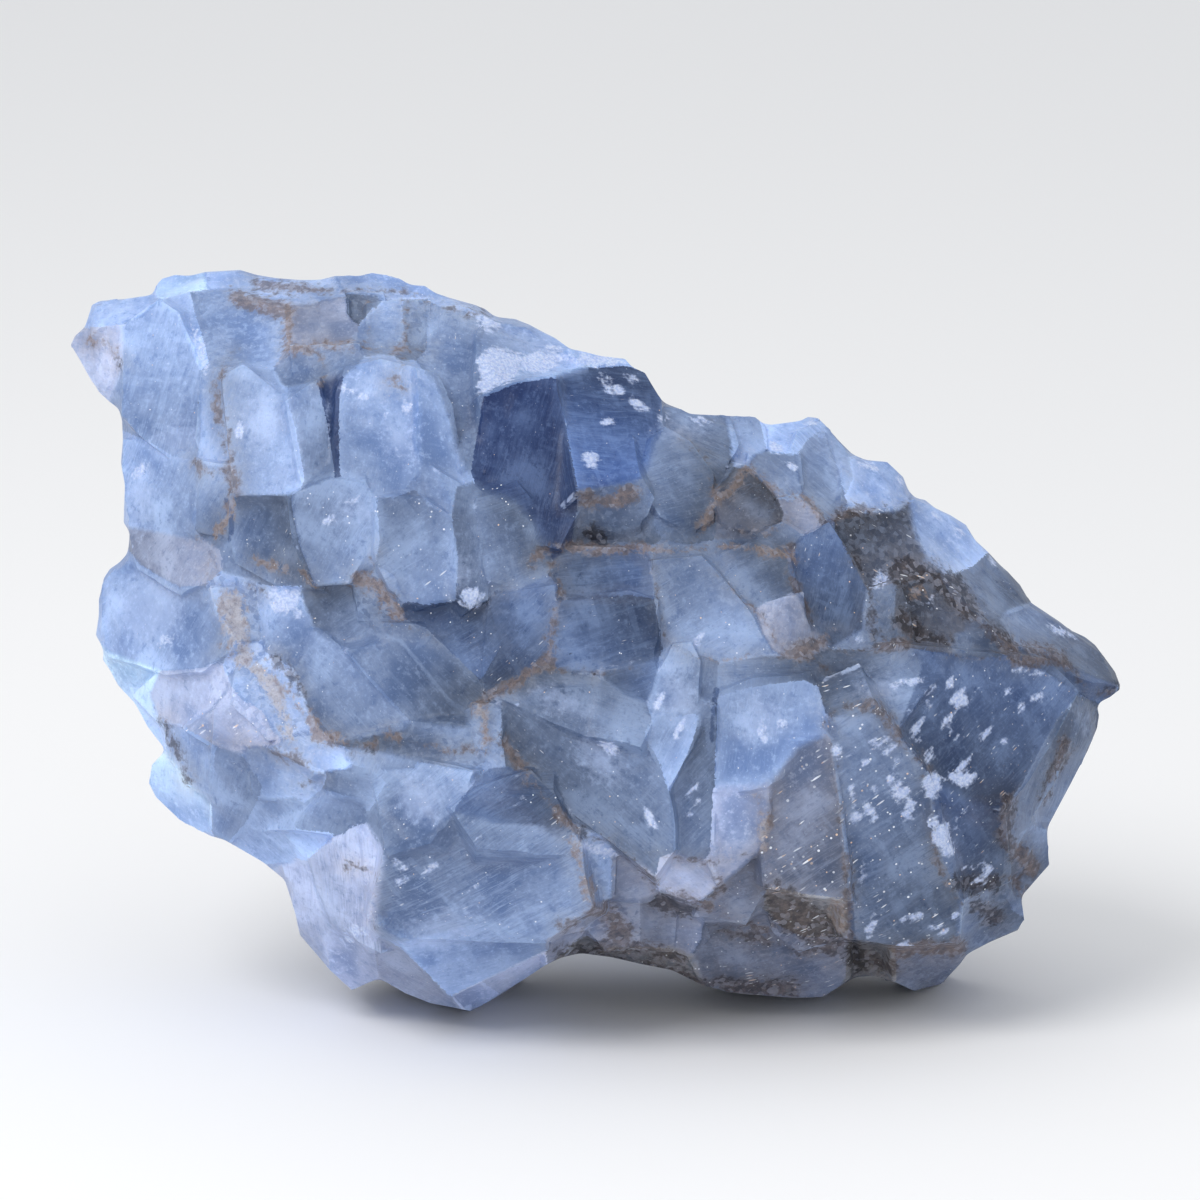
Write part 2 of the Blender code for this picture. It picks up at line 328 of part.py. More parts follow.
def face_on_form(corners, rise_mm, lean_right, lean_up):
    """The corners, in space, of a cleavage face drawn at corners, and the face's outward normal."""
    corners = np.array(corners, float)
    cx, cy = corners.mean(axis=0)
    d = 12.0
    follow = 0.6
    slope_r = (front_height(cx + d, cy) - front_height(cx - d, cy)) / (2 * d * UNIT)
    slope_u = (front_height(cx, cy - d) - front_height(cx, cy + d)) / (2 * d * UNIT)
    slope_r = float(np.clip(follow * slope_r, -0.7, 0.7)) + lean_right
    slope_u = float(np.clip(follow * slope_u, -0.7, 0.7)) + lean_up
    w = float(front_height(cx, cy)) + 0.001 * rise_mm
    centre = drawn(cx, cy, w)
    normal = -slope_r * RIGHT - slope_u * UP + NEAR
    normal /= np.linalg.norm(normal)
    face = []
    for x, y in corners:
        ray = drawn(x, y, 0.0) - EYE
        face.append(EYE + ray * (normal @ (centre - EYE)) / (normal @ ray))
    return face, normal


def add_block(name, points, collection):
    block = bpy.data.objects.new(name, hull_mesh(name, points))
    block.hide_render = True
    block.display_type = "WIRE"
    collection.objects.link(block)
    return block


# ---------------------------------------------------------------- the hidden side
def form_point(direction, inset):
    """Where a ray from the middle of the lump leaves the rounded form, less an inset."""
    start = drawn(600.0, 640.0, 0.0)
    low, high = 0.0, 0.12
    for _ in range(22):
        reach = (low + high) / 2
        p = start + direction * reach - MIDDLE
        w = p @ NEAR
        shrink = (VIEW_DISTANCE - w) / VIEW_DISTANCE
        x = 600 + (p @ RIGHT) / (UNIT * shrink)
        y = 600 - (p @ UP) / (UNIT * shrink)
        within = bool(inside_outline(np.array([x]), np.array([y]))[0]) and (
            float(back_height(x, y)) - 0.001 < w < float(front_height(x, y)) + 0.001
        )
        low, high = (reach, high) if within else (low, reach)
    return start + direction * max(low - inset, 0.004)


def hidden_blocks(collection):
    rng = np.random.default_rng(SEED)
    golden = math.pi * (3 - math.sqrt(5))
    made = 0
    total = 150
    for i in range(total):
        # directions spread evenly over a sphere, keeping those that point away from the viewer
        z = 1 - 2 * (i + 0.5) / total
        r = math.sqrt(1 - z * z)
        a = golden * i
        d = r * math.cos(a) * RIGHT + r * math.sin(a) * UP - z * NEAR
        spin, size, lean = rng.random(), rng.random(), rng.normal(0, HIDDEN_LEAN, 3)
        sides, jitter = int(rng.integers(4, 7)), rng.uniform(0.75, 1.15, 7)
        rise = rng.uniform(-0.0015, 0.0010)
        if d @ NEAR > -0.22 or made >= HIDDEN_BLOCKS:
            continue
        made += 1
        # the form is wide and flat, so its surface faces back more than the ray does
        stretched = d * np.array((0.55, 1.0, 0.8))
        normal = stretched / np.linalg.norm(stretched) + lean
        normal /= np.linalg.norm(normal)
        point = form_point(d, 0.0) + normal * rise
        across = np.cross(normal, UP)
        across /= np.linalg.norm(across)
        along = np.cross(normal, across)
        radius = HIDDEN_RADIUS[0] + (HIDDEN_RADIUS[1] - HIDDEN_RADIUS[0]) * size
        face = [
            point + radius * jitter[k] * (
                math.cos(2 * math.pi * (k / sides + spin)) * across * 1.25
                + math.sin(2 * math.pi * (k / sides + spin)) * along * 0.85
            )
            for k in range(sides)
        ]
        add_block(f"hidden_{made:02d}", block_points(face, normal, HIDDEN_DEPTH, HIDDEN_SLOPE), collection)


def rim_blocks(collection):
    """Facets that fall away behind the outline, one after another along it."""
    rng = np.random.default_rng(SEED + 1)
    corners = [np.array(p, float) for p in OUTLINE] + [np.array(OUTLINE[0], float)]
    lengths = [0.0]
    for a, b in zip(corners, corners[1:]):
        lengths.append(lengths[-1] + float(np.linalg.norm(b - a)))
    total = lengths[-1]

    def along_outline(s):
        s = s % total
        k = max(i for i, d in enumerate(lengths[:-1]) if d <= s)
        t = (s - lengths[k]) / (lengths[k + 1] - lengths[k])
        return corners[k] * (1 - t) + corners[k + 1] * t

    s, made = 0.0, 0
    while s < total - RIM_RUN[0] * 0.5:
        run = float(rng.uniform(*RIM_RUN))
        inward_by, fall, shift = float(rng.uniform(*RIM_INWARD)), float(rng.uniform(*RIM_FALL)), rng.uniform(-0.25, 0.25, 2)
        a, b = along_outline(s - 3), along_outline(s + run + 3)
        s += run
        made += 1
        way = (b - a) / np.linalg.norm(b - a)
        inward = np.array((-way[1], way[0]))
        a, b = a - 3 * inward, b - 3 * inward
        middle = (a + b) / 2
        p, q = drawn(a[0], a[1], 0.001), drawn(b[0], b[1], 0.001)
        deep = drawn(*(middle + inward * inward_by), -fall) - drawn(middle[0], middle[1], 0.001)
        side = q - p
        face = [p, q, q + deep - side * (0.15 + shift[0]), p + deep + side * (0.15 + shift[1])]
        normal = np.cross(side, deep)
        normal /= np.linalg.norm(normal)
        outward = drawn(middle[0], middle[1], 0.0) - drawn(*(middle + inward * inward_by), 0.0)
        if normal @ outward < 0:
            normal = -normal
        add_block(f"rim_{made:02d}", block_points(face, normal, 0.020, 0.2), collection)


def feet(collection):
    for name, plan in FEET.items():
        face = [np.array((x * 0.001, y * 0.001, -0.001)) for x, y in plan]
        add_block(name, block_points(face, np.array((0.0, 0.0, -1.0)), FOOT_HEIGHT, FOOT_SLOPE), collection)


# ---------------------------------------------------------------- outline bodies
def outline_body(name, half, collection):
    """The outline as a flat curve, thickened towards and away from the viewer, then given the drawing's perspective."""
    curve = bpy.data.curves.new(name, "CURVE")
    curve.dimensions = "2D"
    curve.fill_mode = "BOTH"
    curve.extrude = half
    spline = curve.splines.new("POLY")
    spline.points.add(len(OUTLINE) - 1)
    for point, (x, y) in zip(spline.points, OUTLINE):
        point.co = ((x - 600) * UNIT, (600 - y) * UNIT, 0.0, 1.0)
    spline.use_cyclic_u = True
    shape = bpy.data.objects.new(name, curve)
    bpy.context.scene.collection.objects.link(shape)
    bpy.context.view_layer.update()
    mesh = bpy.data.meshes.new_from_object(shape.evaluated_get(bpy.context.evaluated_depsgraph_get()))
    bpy.data.objects.remove(shape)
    bm = bmesh.new()
    bm.from_mesh(mesh)
    bmesh.ops.remove_doubles(bm, verts=bm.verts[:], dist=1e-6)
    for v in bm.verts:
        u, up, w = v.co
        v.co = Vector([float(c) for c in drawn(600 + u / UNIT, 600 - up / UNIT, w)])
    bmesh.ops.recalc_face_normals(bm, faces=bm.faces[:])
    bm.to_mesh(mesh)
    bm.free()
    body = bpy.data.objects.new(name, mesh)
    body.hide_render = True
    body.display_type = "WIRE"
    collection.objects.link(body)
    return body


def core_mesh(name):
    """A ball pulled out to the rounded form, a little inside it."""
    mesh = bpy.data.meshes.new(name)
    bm = bmesh.new()
    bmesh.ops.create_icosphere(bm, subdivisions=3, radius=1.0)
    for v in bm.verts:
        d = np.array(v.co.normalized())
        v.co = Vector([float(c) for c in form_point(d, CORE_INSET)])
    bmesh.ops.recalc_face_normals(bm, faces=bm.faces[:])
    bm.to_mesh(mesh)
    bm.free()
    return mesh


def keep_outer_skin(obj):
    """Takes the joined shape as the object's own mesh, and fills the closed voids left between blocks."""
    bpy.context.view_layer.update()
    joined = bpy.data.meshes.new_from_object(obj.evaluated_get(bpy.context.evaluated_depsgraph_get()))
    bm = bmesh.new()
    bm.from_mesh(joined)
    skins, seen = [], set()
    for start in bm.faces:
        if start in seen:
            continue
        skin, edge_of_search = [], [start]
        seen.add(start)
        while edge_of_search:
            face = edge_of_search.pop()
            skin.append(face)
            for edge in face.edges:
                for other in edge.link_faces:
                    if other not in seen:
                        seen.add(other)
                        edge_of_search.append(other)
        skins.append(skin)
    skins.sort(key=lambda skin: sum(face.calc_area() for face in skin))
    inner = [face for skin in skins[:-1] for face in skin]
    bmesh.ops.delete(bm, geom=inner, context="FACES")
    bmesh.ops.triangulate(bm, faces=bm.faces[:])
    bm.to_mesh(joined)
    bm.free()
    joined.materials.clear()
    joined.materials.append(calcite_material())
    obj.modifiers.clear()
    obj.data = joined
    joined.name = obj.name


def calcite_material():
    material = bpy.data.materials.new("blue_calcite")
    material.use_nodes = True
    shader = material.node_tree.nodes["Principled BSDF"]
    shader.inputs["Base Color"].default_value = (0.26, 0.36, 0.56, 1.0)
    shader.inputs["Roughness"].default_value = 0.38
    shader.inputs["Metallic"].default_value = 0.0
    return material


def main():
    for old in list(bpy.data.objects):
        bpy.data.objects.remove(old, do_unlink=True)
    scene = bpy.context.scene
    lump = bpy.data.collections.new("rough_blue_calcite")
    blocks = bpy.data.collections.new("cleavage_blocks")
    trims = bpy.data.collections.new("trims")
    for collection in (lump, blocks, trims):
        scene.collection.children.link(collection)
    blocks.hide_render = True
    trims.hide_render = True

    for name, (corners, rise, lean_right, lean_up) in FRONT.items():
        face, normal = face_on_form(corners, rise, lean_right, lean_up)
        add_block(name, block_points(face, normal, BLOCK_DEPTH, SIDE_SLOPE), blocks)
    hidden_blocks(blocks)
    rim_blocks(blocks)
    feet(blocks)
    outline_body("rim_slab", RIM_HALF, blocks)
    limit = outline_body("outline_limit", 0.070, trims)

    bm = bmesh.new()
    bmesh.ops.create_cube(bm, size=1.0)
    bmesh.ops.scale(bm, vec=(0.4, 0.4, 0.1), verts=bm.verts[:])
    bmesh.ops.translate(bm, vec=(0, 0, -0.05), verts=bm.verts[:])
    ground = bpy.data.objects.new("ground", bpy.data.meshes.new("ground"))
    bm.to_mesh(ground.data)
    bm.free()
    ground.hide_render = True
    ground.display_type = "WIRE"
    trims.objects.link(ground)

    rock = bpy.data.objects.new("blue_calcite_rough", core_mesh("blue_calcite_rough"))
    lump.objects.link(rock)
    join = rock.modifiers.new("grown_together", "BOOLEAN")
    join.operation = "UNION"
    join.operand_type = "COLLECTION"
    join.collection = blocks
    join.solver = "MANIFOLD"
    trim = rock.modifiers.new("outline", "BOOLEAN")
    trim.operation = "INTERSECT"
    trim.object = limit
    trim.solver = "MANIFOLD"
    flat = rock.modifiers.new("resting_flat", "BOOLEAN")
    flat.operation = "DIFFERENCE"
    flat.object = ground
    flat.solver = "MANIFOLD"
    keep_outer_skin(rock)


main()
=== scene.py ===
"""The looks of a rough lump of blue calcite.

The lump is built again from the same cleavage blocks as the solid model, as one field of distances: each block
is a set of planes with worn edges, stepped faces and a little waviness, and the gaps between the blocks are
filled with granular rock. The field is turned into one skin, and every face of the skin gets the tone, the
direction of its striations and the stains and bruises that are listed here.

Positions on the front are given on a square drawing, 1200 units wide, with x to the right and y down.
Metres, +Z up, the front faces -Y.
"""

import math

import bpy
import numpy as np
from mathutils import Matrix, Vector


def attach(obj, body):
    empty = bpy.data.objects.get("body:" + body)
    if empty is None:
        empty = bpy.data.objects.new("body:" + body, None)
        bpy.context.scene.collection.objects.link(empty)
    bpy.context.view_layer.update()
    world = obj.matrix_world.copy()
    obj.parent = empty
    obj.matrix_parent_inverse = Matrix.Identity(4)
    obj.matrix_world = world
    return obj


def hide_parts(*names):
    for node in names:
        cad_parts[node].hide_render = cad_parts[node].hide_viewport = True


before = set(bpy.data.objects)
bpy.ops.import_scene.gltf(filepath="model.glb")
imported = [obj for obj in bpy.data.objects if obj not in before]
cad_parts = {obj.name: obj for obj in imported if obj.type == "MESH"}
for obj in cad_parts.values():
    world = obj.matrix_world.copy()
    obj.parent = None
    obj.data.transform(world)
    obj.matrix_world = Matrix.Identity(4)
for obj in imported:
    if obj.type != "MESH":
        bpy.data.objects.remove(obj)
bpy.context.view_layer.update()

# ---------------------------------------------------------------- the drawing
UNIT = 0.0001428        # metres per drawing unit, at the lump's middle plane
VIEW_ELEVATION = 12.0   # degrees: the drawing looks down on the lump by this much
VIEW_DISTANCE = 0.80    # metres from the drawing's eye to the middle plane
ORIGIN = (0.00064, 0.0057, 0.0572)  # where the middle of the drawing lies
FRONT_BULGE = 0.033     # how far the rounded form comes forward of the middle plane
BACK_BULGE = 0.0275     # and how far it goes back
BLOCK_DEPTH = 0.0075    # how deep a block in front reaches; the rock between the blocks is solid below that
RIM_RUN = (34, 62)      # drawing units along the outline for each facet that falls away behind it
RIM_FALL = (0.011, 0.019)   # how far back such a facet goes
RIM_INWARD = (34, 66)   # and how many drawing units inwards
SEED = 41

E = math.radians(VIEW_ELEVATION)
RIGHT = np.array((1.0, 0.0, 0.0))
UP = np.array((0.0, math.sin(E), math.cos(E)))
NEAR = np.array((0.0, -math.cos(E), math.sin(E)))
MIDDLE = np.array(ORIGIN)
EYE = MIDDLE + VIEW_DISTANCE * NEAR

GRID = 0.00052   # metres between the points where the field is worked out
FACES = 197000    # triangles in the finished skin

# ---------------------------------------------------------------- the lump's outline on the drawing
OUTLINE = [
    (71, 345), (75, 336), (85, 327), (88, 318), (92, 305), (100, 301), (125, 299), (153, 295), (156, 286),
    (162, 279), (175, 275), (190, 276), (205, 272), (240, 270), (257, 275), (275, 278), (300, 280), (320, 280),
    (335, 276), (360, 276), (372, 273), (385, 275), (400, 279), (410, 285), (425, 286), (435, 293), (450, 298),
    (475, 305), (485, 309), (495, 317), (515, 319), (530, 325), (545, 333), (555, 338), (570, 349), (585, 352),
    (600, 356), (625, 359), (632, 367), (645, 373), (652, 385), (660, 398), (664, 403), (680, 409), (690, 414),
    (730, 416), (755, 417), (762, 423), (770, 425), (800, 421), (808, 417), (818, 418), (825, 425), (840, 442),
    (852, 454), (865, 460), (887, 462), (903, 477), (908, 490), (915, 498), (925, 500), (935, 508), (950, 515),
    (966, 525), (975, 540), (988, 552), (1000, 565), (1008, 572), (1020, 585), (1030, 602), (1060, 622),
    (1070, 630), (1085, 637), (1095, 645), (1105, 658), (1115, 672), (1120, 685), (1119, 690), (1110, 697),
    (1100, 702), (1097, 708), (1099, 715), (1097, 728), (1088, 750), (1070, 785), (1047, 828), (1048, 850),
    (1049, 865), (1040, 875), (1027, 890), (1021, 896), (1024, 918), (1018, 930), (990, 942), (967, 954),
    (960, 964), (941, 984), (914, 991), (895, 982), (874, 976), (855, 977), (837, 988), (822, 997), (794, 998),
    (733, 993), (702, 985), (672, 970), (641, 964), (611, 957), (580, 953), (560, 958), (544, 966), (500, 995),
    (471, 1011), (430, 1003), (405, 993), (379, 978), (352, 990), (330, 970), (300, 935), (295, 912), (285, 880),
    (263, 862), (225, 840), (211, 836), (180, 820), (156, 797), (149, 783), (152, 765), (166, 750), (158, 740),
    (148, 727), (135, 703), (118, 685), (110, 670), (103, 660), (104, 650), (96, 635), (99, 615), (99, 600),
    (104, 578), (110, 569), (120, 562), (128, 553), (130, 532), (124, 523), (124, 510), (125, 485), (121, 463),
    (123, 440), (122, 420), (119, 409), (110, 402), (100, 393), (90, 378), (80, 360),
]

# Rises (mm) of the rounded form: x, y, reach across, reach down, height.
SWELLS = [
    (355, 460, 135, 120, 5.0), (600, 450, 90, 80, 3.0), (930, 770, 120, 120, 5.5), (480, 860, 130, 110, 7.5),
    (760, 790, 120, 110, 2.5), (620, 770, 90, 80, 1.5), (860, 560, 90, 60, -1.5), (640, 925, 60, 40, -3.5),
    (330, 625, 90, 40, -2.5), (150, 370, 70, 60, 1.0), (860, 960, 60, 30, -4.0), (220, 800, 90, 60, 2.0),
]

# ---------------------------------------------------------------- the blocks that show from the front
# name: corners of the cleavage face, height over the rounded form (mm), lean to the right, lean up
FRONT = {
    "tip_slab_upper": ([(88, 327), (92, 303), (125, 298), (155, 294), (160, 300), (143, 318), (105, 326)], 0, -0.1, -0.5),
    "crest_slab_left": ([(155, 297), (158, 282), (172, 275), (205, 272), (208, 288), (165, 298)], 0, 0, -0.6),
    "crest_slab_cyan": ([(203, 273), (240, 270), (257, 275), (262, 288), (208, 290)], 0, 0, -0.6),
    "tip": ([(71, 345), (78, 334), (90, 328), (122, 326), (122, 368), (100, 392), (86, 375)], -1, 0.4, 0.1),
    "left_striated": ([(160, 300), (178, 312), (192, 345), (202, 375), (205, 440), (190, 460), (172, 460), (148, 440),
                       (122, 415), (120, 368), (122, 326), (143, 318)], 1, 0.12, -0.1),
    "left_band": ([(165, 297), (190, 292), (206, 350), (201, 372), (190, 342), (178, 312)], 1.8, -0.1, -0.1),
    "upper_granular": ([(188, 292), (240, 288), (285, 308), (288, 345), (240, 356), (225, 372), (207, 352)], 0.6, 0, -0.25),
    "grey_flank": ([(200, 370), (225, 368), (230, 450), (234, 472), (203, 470), (196, 440)], 0, 0.1, 0),
    "left_pale": ([(122, 440), (150, 443), (172, 460), (192, 460), (200, 470), (196, 510), (195, 540), (126, 524),
                   (122, 480)], 0.6, 0.3, 0),
    "left_dark": ([(195, 462), (232, 468), (238, 500), (228, 535), (196, 530)], -0.6, 0.1, 0.1),
    "hexagon": ([(222, 375), (240, 366), (290, 404), (298, 430), (304, 478), (286, 494), (235, 496), (228, 450)], 5.0, -0.05, -0.05),
    "hexagon_side": ([(288, 402), (316, 383), (328, 420), (336, 474), (306, 482), (299, 430)], 2.6, -0.4, 0),
    "slit": ([(319, 381), (345, 366), (338, 396), (338, 474), (334, 474), (328, 420)], -0.5, 0, 0),
    "column": ([(336, 395), (348, 366), (380, 361), (420, 371), (424, 420), (420, 470), (395, 500), (370, 492),
                (341, 472), (337, 430)], 5.0, -0.03, -0.05),
    "column_right": ([(420, 372), (440, 378), (455, 420), (463, 480), (448, 522), (425, 502), (421, 440)], 3.6, -0.3, 0),
    "low_pale": ([(290, 500), (330, 480), (366, 480), (376, 500), (380, 545), (350, 582), (315, 585), (296, 545)], 4.8, 0, 0.08),
    "low_dark": ([(230, 494), (290, 496), (297, 545), (314, 586), (270, 582), (238, 562), (230, 530)], 3.0, 0.1, 0.1),
    "streaked": ([(378, 500), (395, 496), (425, 500), (450, 520), (461, 560), (452, 600), (425, 606), (395, 592),
                  (380, 552)], 4.8, -0.1, 0.08),
    "sliver": ([(452, 480), (470, 492), (486, 540), (487, 600), (470, 609), (458, 592), (455, 540)], 4.4, -0.3, 0),
    "grey_shelf": ([(478, 500), (520, 488), (546, 520), (541, 560), (515, 586), (488, 582), (480, 540)], 2.6, -0.25, 0.05),
    "granular_top": ([(425, 300), (470, 304), (490, 318), (486, 360), (481, 400), (462, 470), (440, 400), (425, 370)], 2.0, -0.1, -0.22),
    "navy_left": ([(485, 395), (515, 378), (556, 374), (577, 480), (580, 512), (560, 550), (535, 542), (500, 502),
                   (480, 470)], 4.0, -0.05, 0),
    "navy_right": ([(557, 373), (590, 365), (628, 361), (646, 374), (660, 400), (660, 430), (652, 465), (636, 482),
                    (600, 489), (577, 491), (566, 430)], 4.8, -0.18, -0.05),
    "crest_bruised": ([(476, 335), (495, 317), (530, 324), (560, 340), (572, 350), (590, 356), (588, 372), (556, 377),
                       (515, 382), (485, 397), (476, 370)], 3.2, -0.05, -0.45),
    "crest_cyan_right": ([(572, 349), (600, 355), (626, 358), (641, 371), (628, 366), (590, 371)], 3.0, 0, -0.5),
    "under_navy": ([(577, 489), (600, 487), (640, 480), (652, 500), (642, 532), (610, 545), (580, 548), (573, 515)], 0.6, 0, 0.3),
    "grey_gem": ([(652, 440), (665, 431), (690, 445), (713, 475), (711, 520), (690, 531), (660, 516), (640, 487)], 2.6, -0.1, -0.05),
    "saddle_navy": ([(664, 408), (690, 414), (728, 416), (736, 445), (722, 475), (712, 477), (690, 446), (664, 430)], 0.6, 0, -0.35),
    "crest_pale": ([(722, 417), (757, 417), (763, 424), (765, 450), (748, 467), (728, 452)], 0.6, 0, -0.45),
    "crest_stepped": ([(757, 421), (800, 421), (808, 417), (822, 420), (826, 440), (800, 460), (770, 454)], 0, -0.1, -0.5),
    "upper_navy": ([(750, 452), (800, 450), (806, 496), (790, 506), (765, 484), (748, 469)], -0.3, 0, -0.1),
    "upper_stripes": ([(798, 430), (820, 422), (840, 470), (846, 502), (822, 514), (800, 500), (790, 462)], 0.8, -0.25, -0.3),
    "olive_crest": ([(822, 420), (838, 440), (852, 455), (862, 478), (846, 500), (838, 470)], 0, -0.2, -0.4),
    "right_crest_pale": ([(845, 455), (866, 460), (888, 463), (903, 477), (908, 492), (895, 512), (860, 510), (845, 500)], 0.2, -0.2, -0.45),
    "brown_gem": ([(715, 500), (728, 493), (746, 467), (763, 480), (786, 515), (762, 532), (740, 531), (722, 522)], 2.8, -0.1, 0),
    "tan_gem": ([(780, 500), (800, 496), (819, 515), (818, 527), (800, 534), (784, 522)], 2.2, 0, 0),
    "lavender_chip": ([(757, 533), (786, 523), (802, 534), (795, 547), (765, 547)], 1.6, 0, 0),
    "blue_chip": ([(713, 560), (745, 545), (786, 557), (793, 590), (760, 603), (735, 593), (718, 579)], 1.6, 0, 0.05),
    "deep_navy": ([(790, 545), (828, 526), (852, 560), (868, 592), (872, 640), (838, 632), (808, 623), (799, 590),
                   (789, 572)], 2.6, -0.08, 0.05),
    "tan_chip": ([(763, 605), (800, 595), (813, 640), (800, 657), (770, 652), (760, 630)], 2.8, 0.1, 0),
    "grey_green": ([(655, 560), (700, 557), (732, 591), (779, 655), (722, 665), (690, 656), (665, 640), (655, 600)], 2.4, 0, 0.05),
    "brown_rough": ([(850, 512), (905, 508), (915, 530), (930, 558), (900, 582), (868, 592), (852, 560), (838, 530)], -0.3, 0, 0),
    "right_shoulder": ([(915, 500), (936, 508), (966, 525), (988, 553), (976, 572), (950, 578), (925, 560), (912, 530)], 1.6, -0.35, -0.4),
    "right_mid": ([(988, 553), (1008, 572), (1031, 602), (1006, 612), (975, 614), (945, 602), (940, 576), (976, 571)], 0.8, -0.3, -0.3),
    "brown_hollow": ([(895, 575), (940, 575), (975, 612), (1000, 640), (950, 657), (905, 647), (880, 620)], -1.2, 0, 0),
    "tan_right": ([(908, 585), (925, 578), (936, 592), (930, 605), (912, 607)], 0.8, 0, 0),
    "mid_right": ([(862, 592), (900, 580), (912, 640), (880, 652), (850, 640)], 1.2, 0, 0.05),
    "right_tip": ([(1005, 610), (1031, 602), (1062, 622), (1097, 646), (1120, 686), (1095, 682), (1075, 657),
                   (1050, 650), (1015, 648)], 0.8, -0.3, -0.35),
    "right_tip_under": ([(1005, 645), (1052, 652), (1080, 670), (1120, 684), (1118, 690), (1100, 702), (1080, 697),
                         (1050, 674), (1005, 666)], -0.6, -0.2, 0.2),
    "pink_gem": ([(935, 612), (975, 612), (1012, 640), (1000, 662), (955, 661), (930, 640)], 0.8, 0, 0),
    "right_block_left": ([(826, 668), (860, 655), (910, 648), (945, 655), (925, 692), (897, 733), (876, 704), (840, 713),
                          (823, 704)], 3.8, 0.05, -0.15),
    "right_block": ([(910, 648), (997, 654), (1047, 659), (1079, 690), (1052, 724), (1026, 786), (1003, 815),
                     (960, 802), (927, 772), (897, 733)], 4.6, -0.1, -0.05),
    "right_block_low": ([(927, 772), (960, 790), (1003, 812), (998, 837), (1010, 880), (962, 903), (935, 860), (928, 820)], 4.4, -0.1, 0.05),
    "olive_block": ([(832, 724), (875, 705), (897, 733), (929, 772), (940, 830), (950, 880), (962, 902), (958, 942),
                     (903, 948), (849, 941), (845, 880), (838, 790)], 5.2, 0.02, 0.02),
    "right_slab_outer": ([(1077, 692), (1097, 704), (1099, 715), (1096, 730), (1072, 782), (1048, 828), (1034, 815),
                          (1050, 770)], -1.5, -0.7, 0),
    "right_slab_inner": ([(1053, 715), (1078, 698), (1086, 715), (1060, 770), (1034, 815), (1014, 850), (1000, 836),
                          (1008, 800), (1027, 785)], 2.0, -0.45, 0),
    "right_low_grey": ([(1018, 830), (1047, 828), (1049, 864), (1030, 888), (1008, 890), (1002, 860)], -1.5, -0.3, 0),
    "right_low_olive": ([(1003, 850), (1030, 850), (1036, 880), (1022, 897), (1025, 918), (1005, 926), (992, 890)], -1.0, -0.2, 0.1),
    "right_foot": ([(958, 900), (1000, 880), (1022, 898), (1025, 920), (1016, 931), (990, 942), (967, 955), (955, 942)], 0.4, -0.1, 0.35),
    "right_heel": ([(890, 945), (958, 941), (967, 954), (960, 966), (941, 985), (914, 992), (895, 983)], 0.4, 0, 0.5),
    "right_hollow": ([(845, 938), (900, 945), (898, 983), (874, 977), (855, 978), (840, 988)], -4, 0, 0.5),
    "foot_teal": ([(700, 925), (770, 915), (850, 935), (850, 980), (837, 989), (822, 998), (794, 999), (733, 994),
                   (702, 986), (690, 960)], 0.6, 0, 0.35),
    "foot_pale": ([(670, 915), (700, 911), (707, 940), (690, 957), (666, 947)], 1.2, 0, 0.1),
    "brown_recess": ([(768, 885), (800, 890), (850, 898), (847, 940), (800, 952), (772, 930)], -1.5, 0, 0.3),
    "grey_triangle": ([(760, 852), (765, 890), (745, 926), (694, 917), (699, 900)], 3.0, 0, 0.25),
    "streaked_plate": ([(790, 744), (829, 741), (833, 786), (840, 799), (847, 853), (851, 901), (799, 896), (766, 887),
                        (761, 853), (768, 809), (772, 783)], 5.6, -0.03, -0.05),
    "pale_plate": ([(717, 697), (753, 683), (805, 677), (822, 703), (817, 734), (790, 757), (772, 783), (749, 789),
                    (713, 787)], 5.2, 0, -0.06),
    "pale_plate_low": ([(712, 785), (749, 787), (770, 783), (768, 810), (756, 853), (720, 887), (709, 865)], 4.8, 0, 0.1),
    "plate_ledge": ([(720, 663), (760, 654), (815, 663), (823, 680), (803, 680), (753, 686), (716, 696)], 2.8, 0, -0.35),
    "bright_upper": ([(673, 646), (691, 644), (700, 664), (698, 712), (653, 723), (648, 701), (660, 673)], 4.2, 0.1, -0.2),
    "bright_lower": ([(642, 731), (653, 721), (702, 712), (690, 751), (677, 768), (668, 791), (660, 756)], 4.4, 0.1, 0.1),
    "gap_band": ([(698, 650), (720, 658), (717, 720), (714, 792), (700, 770), (696, 712)], 2.4, 0, 0),
    "navy_wedge": ([(673, 788), (690, 750), (702, 714), (714, 712), (714, 777), (711, 853), (690, 860), (674, 849)], 3.6, 0.25, 0),
    "big_teal": ([(505, 702), (560, 690), (600, 692), (642, 735), (662, 757), (668, 790), (674, 849), (654, 876),
                  (614, 838), (560, 802), (520, 764), (500, 735)], 4.0, 0.04, -0.02),
    "teal_shelf": ([(498, 696), (545, 663), (602, 679), (642, 699), (652, 721), (640, 747), (600, 737), (545, 717)], 4.2, 0, -0.3),
    "navy_chip": ([(600, 672), (652, 661), (657, 680), (648, 703), (625, 702), (610, 684)], 3.2, 0, -0.05),
    "mid_block": ([(566, 550), (625, 548), (647, 560), (655, 597), (600, 599), (559, 599)], 3.0, 0, -0.1),
    "arc_block": ([(559, 600), (630, 592), (654, 600), (657, 640), (650, 662), (620, 670), (560, 670), (546, 660),
                   (555, 620)], 3.6, 0, 0.03),
    "teal_slope": ([(490, 600), (555, 588), (553, 640), (545, 665), (500, 697), (485, 690), (518, 650)], 2.2, 0.05, 0),
    "under_ledge_navy": ([(400, 605), (488, 602), (520, 650), (478, 677), (430, 637)], 1.0, 0, -0.1),
    "lavender_strip": ([(385, 625), (428, 625), (452, 650), (480, 680), (489, 703), (450, 703), (420, 662)], 2.8, -0.1, 0),
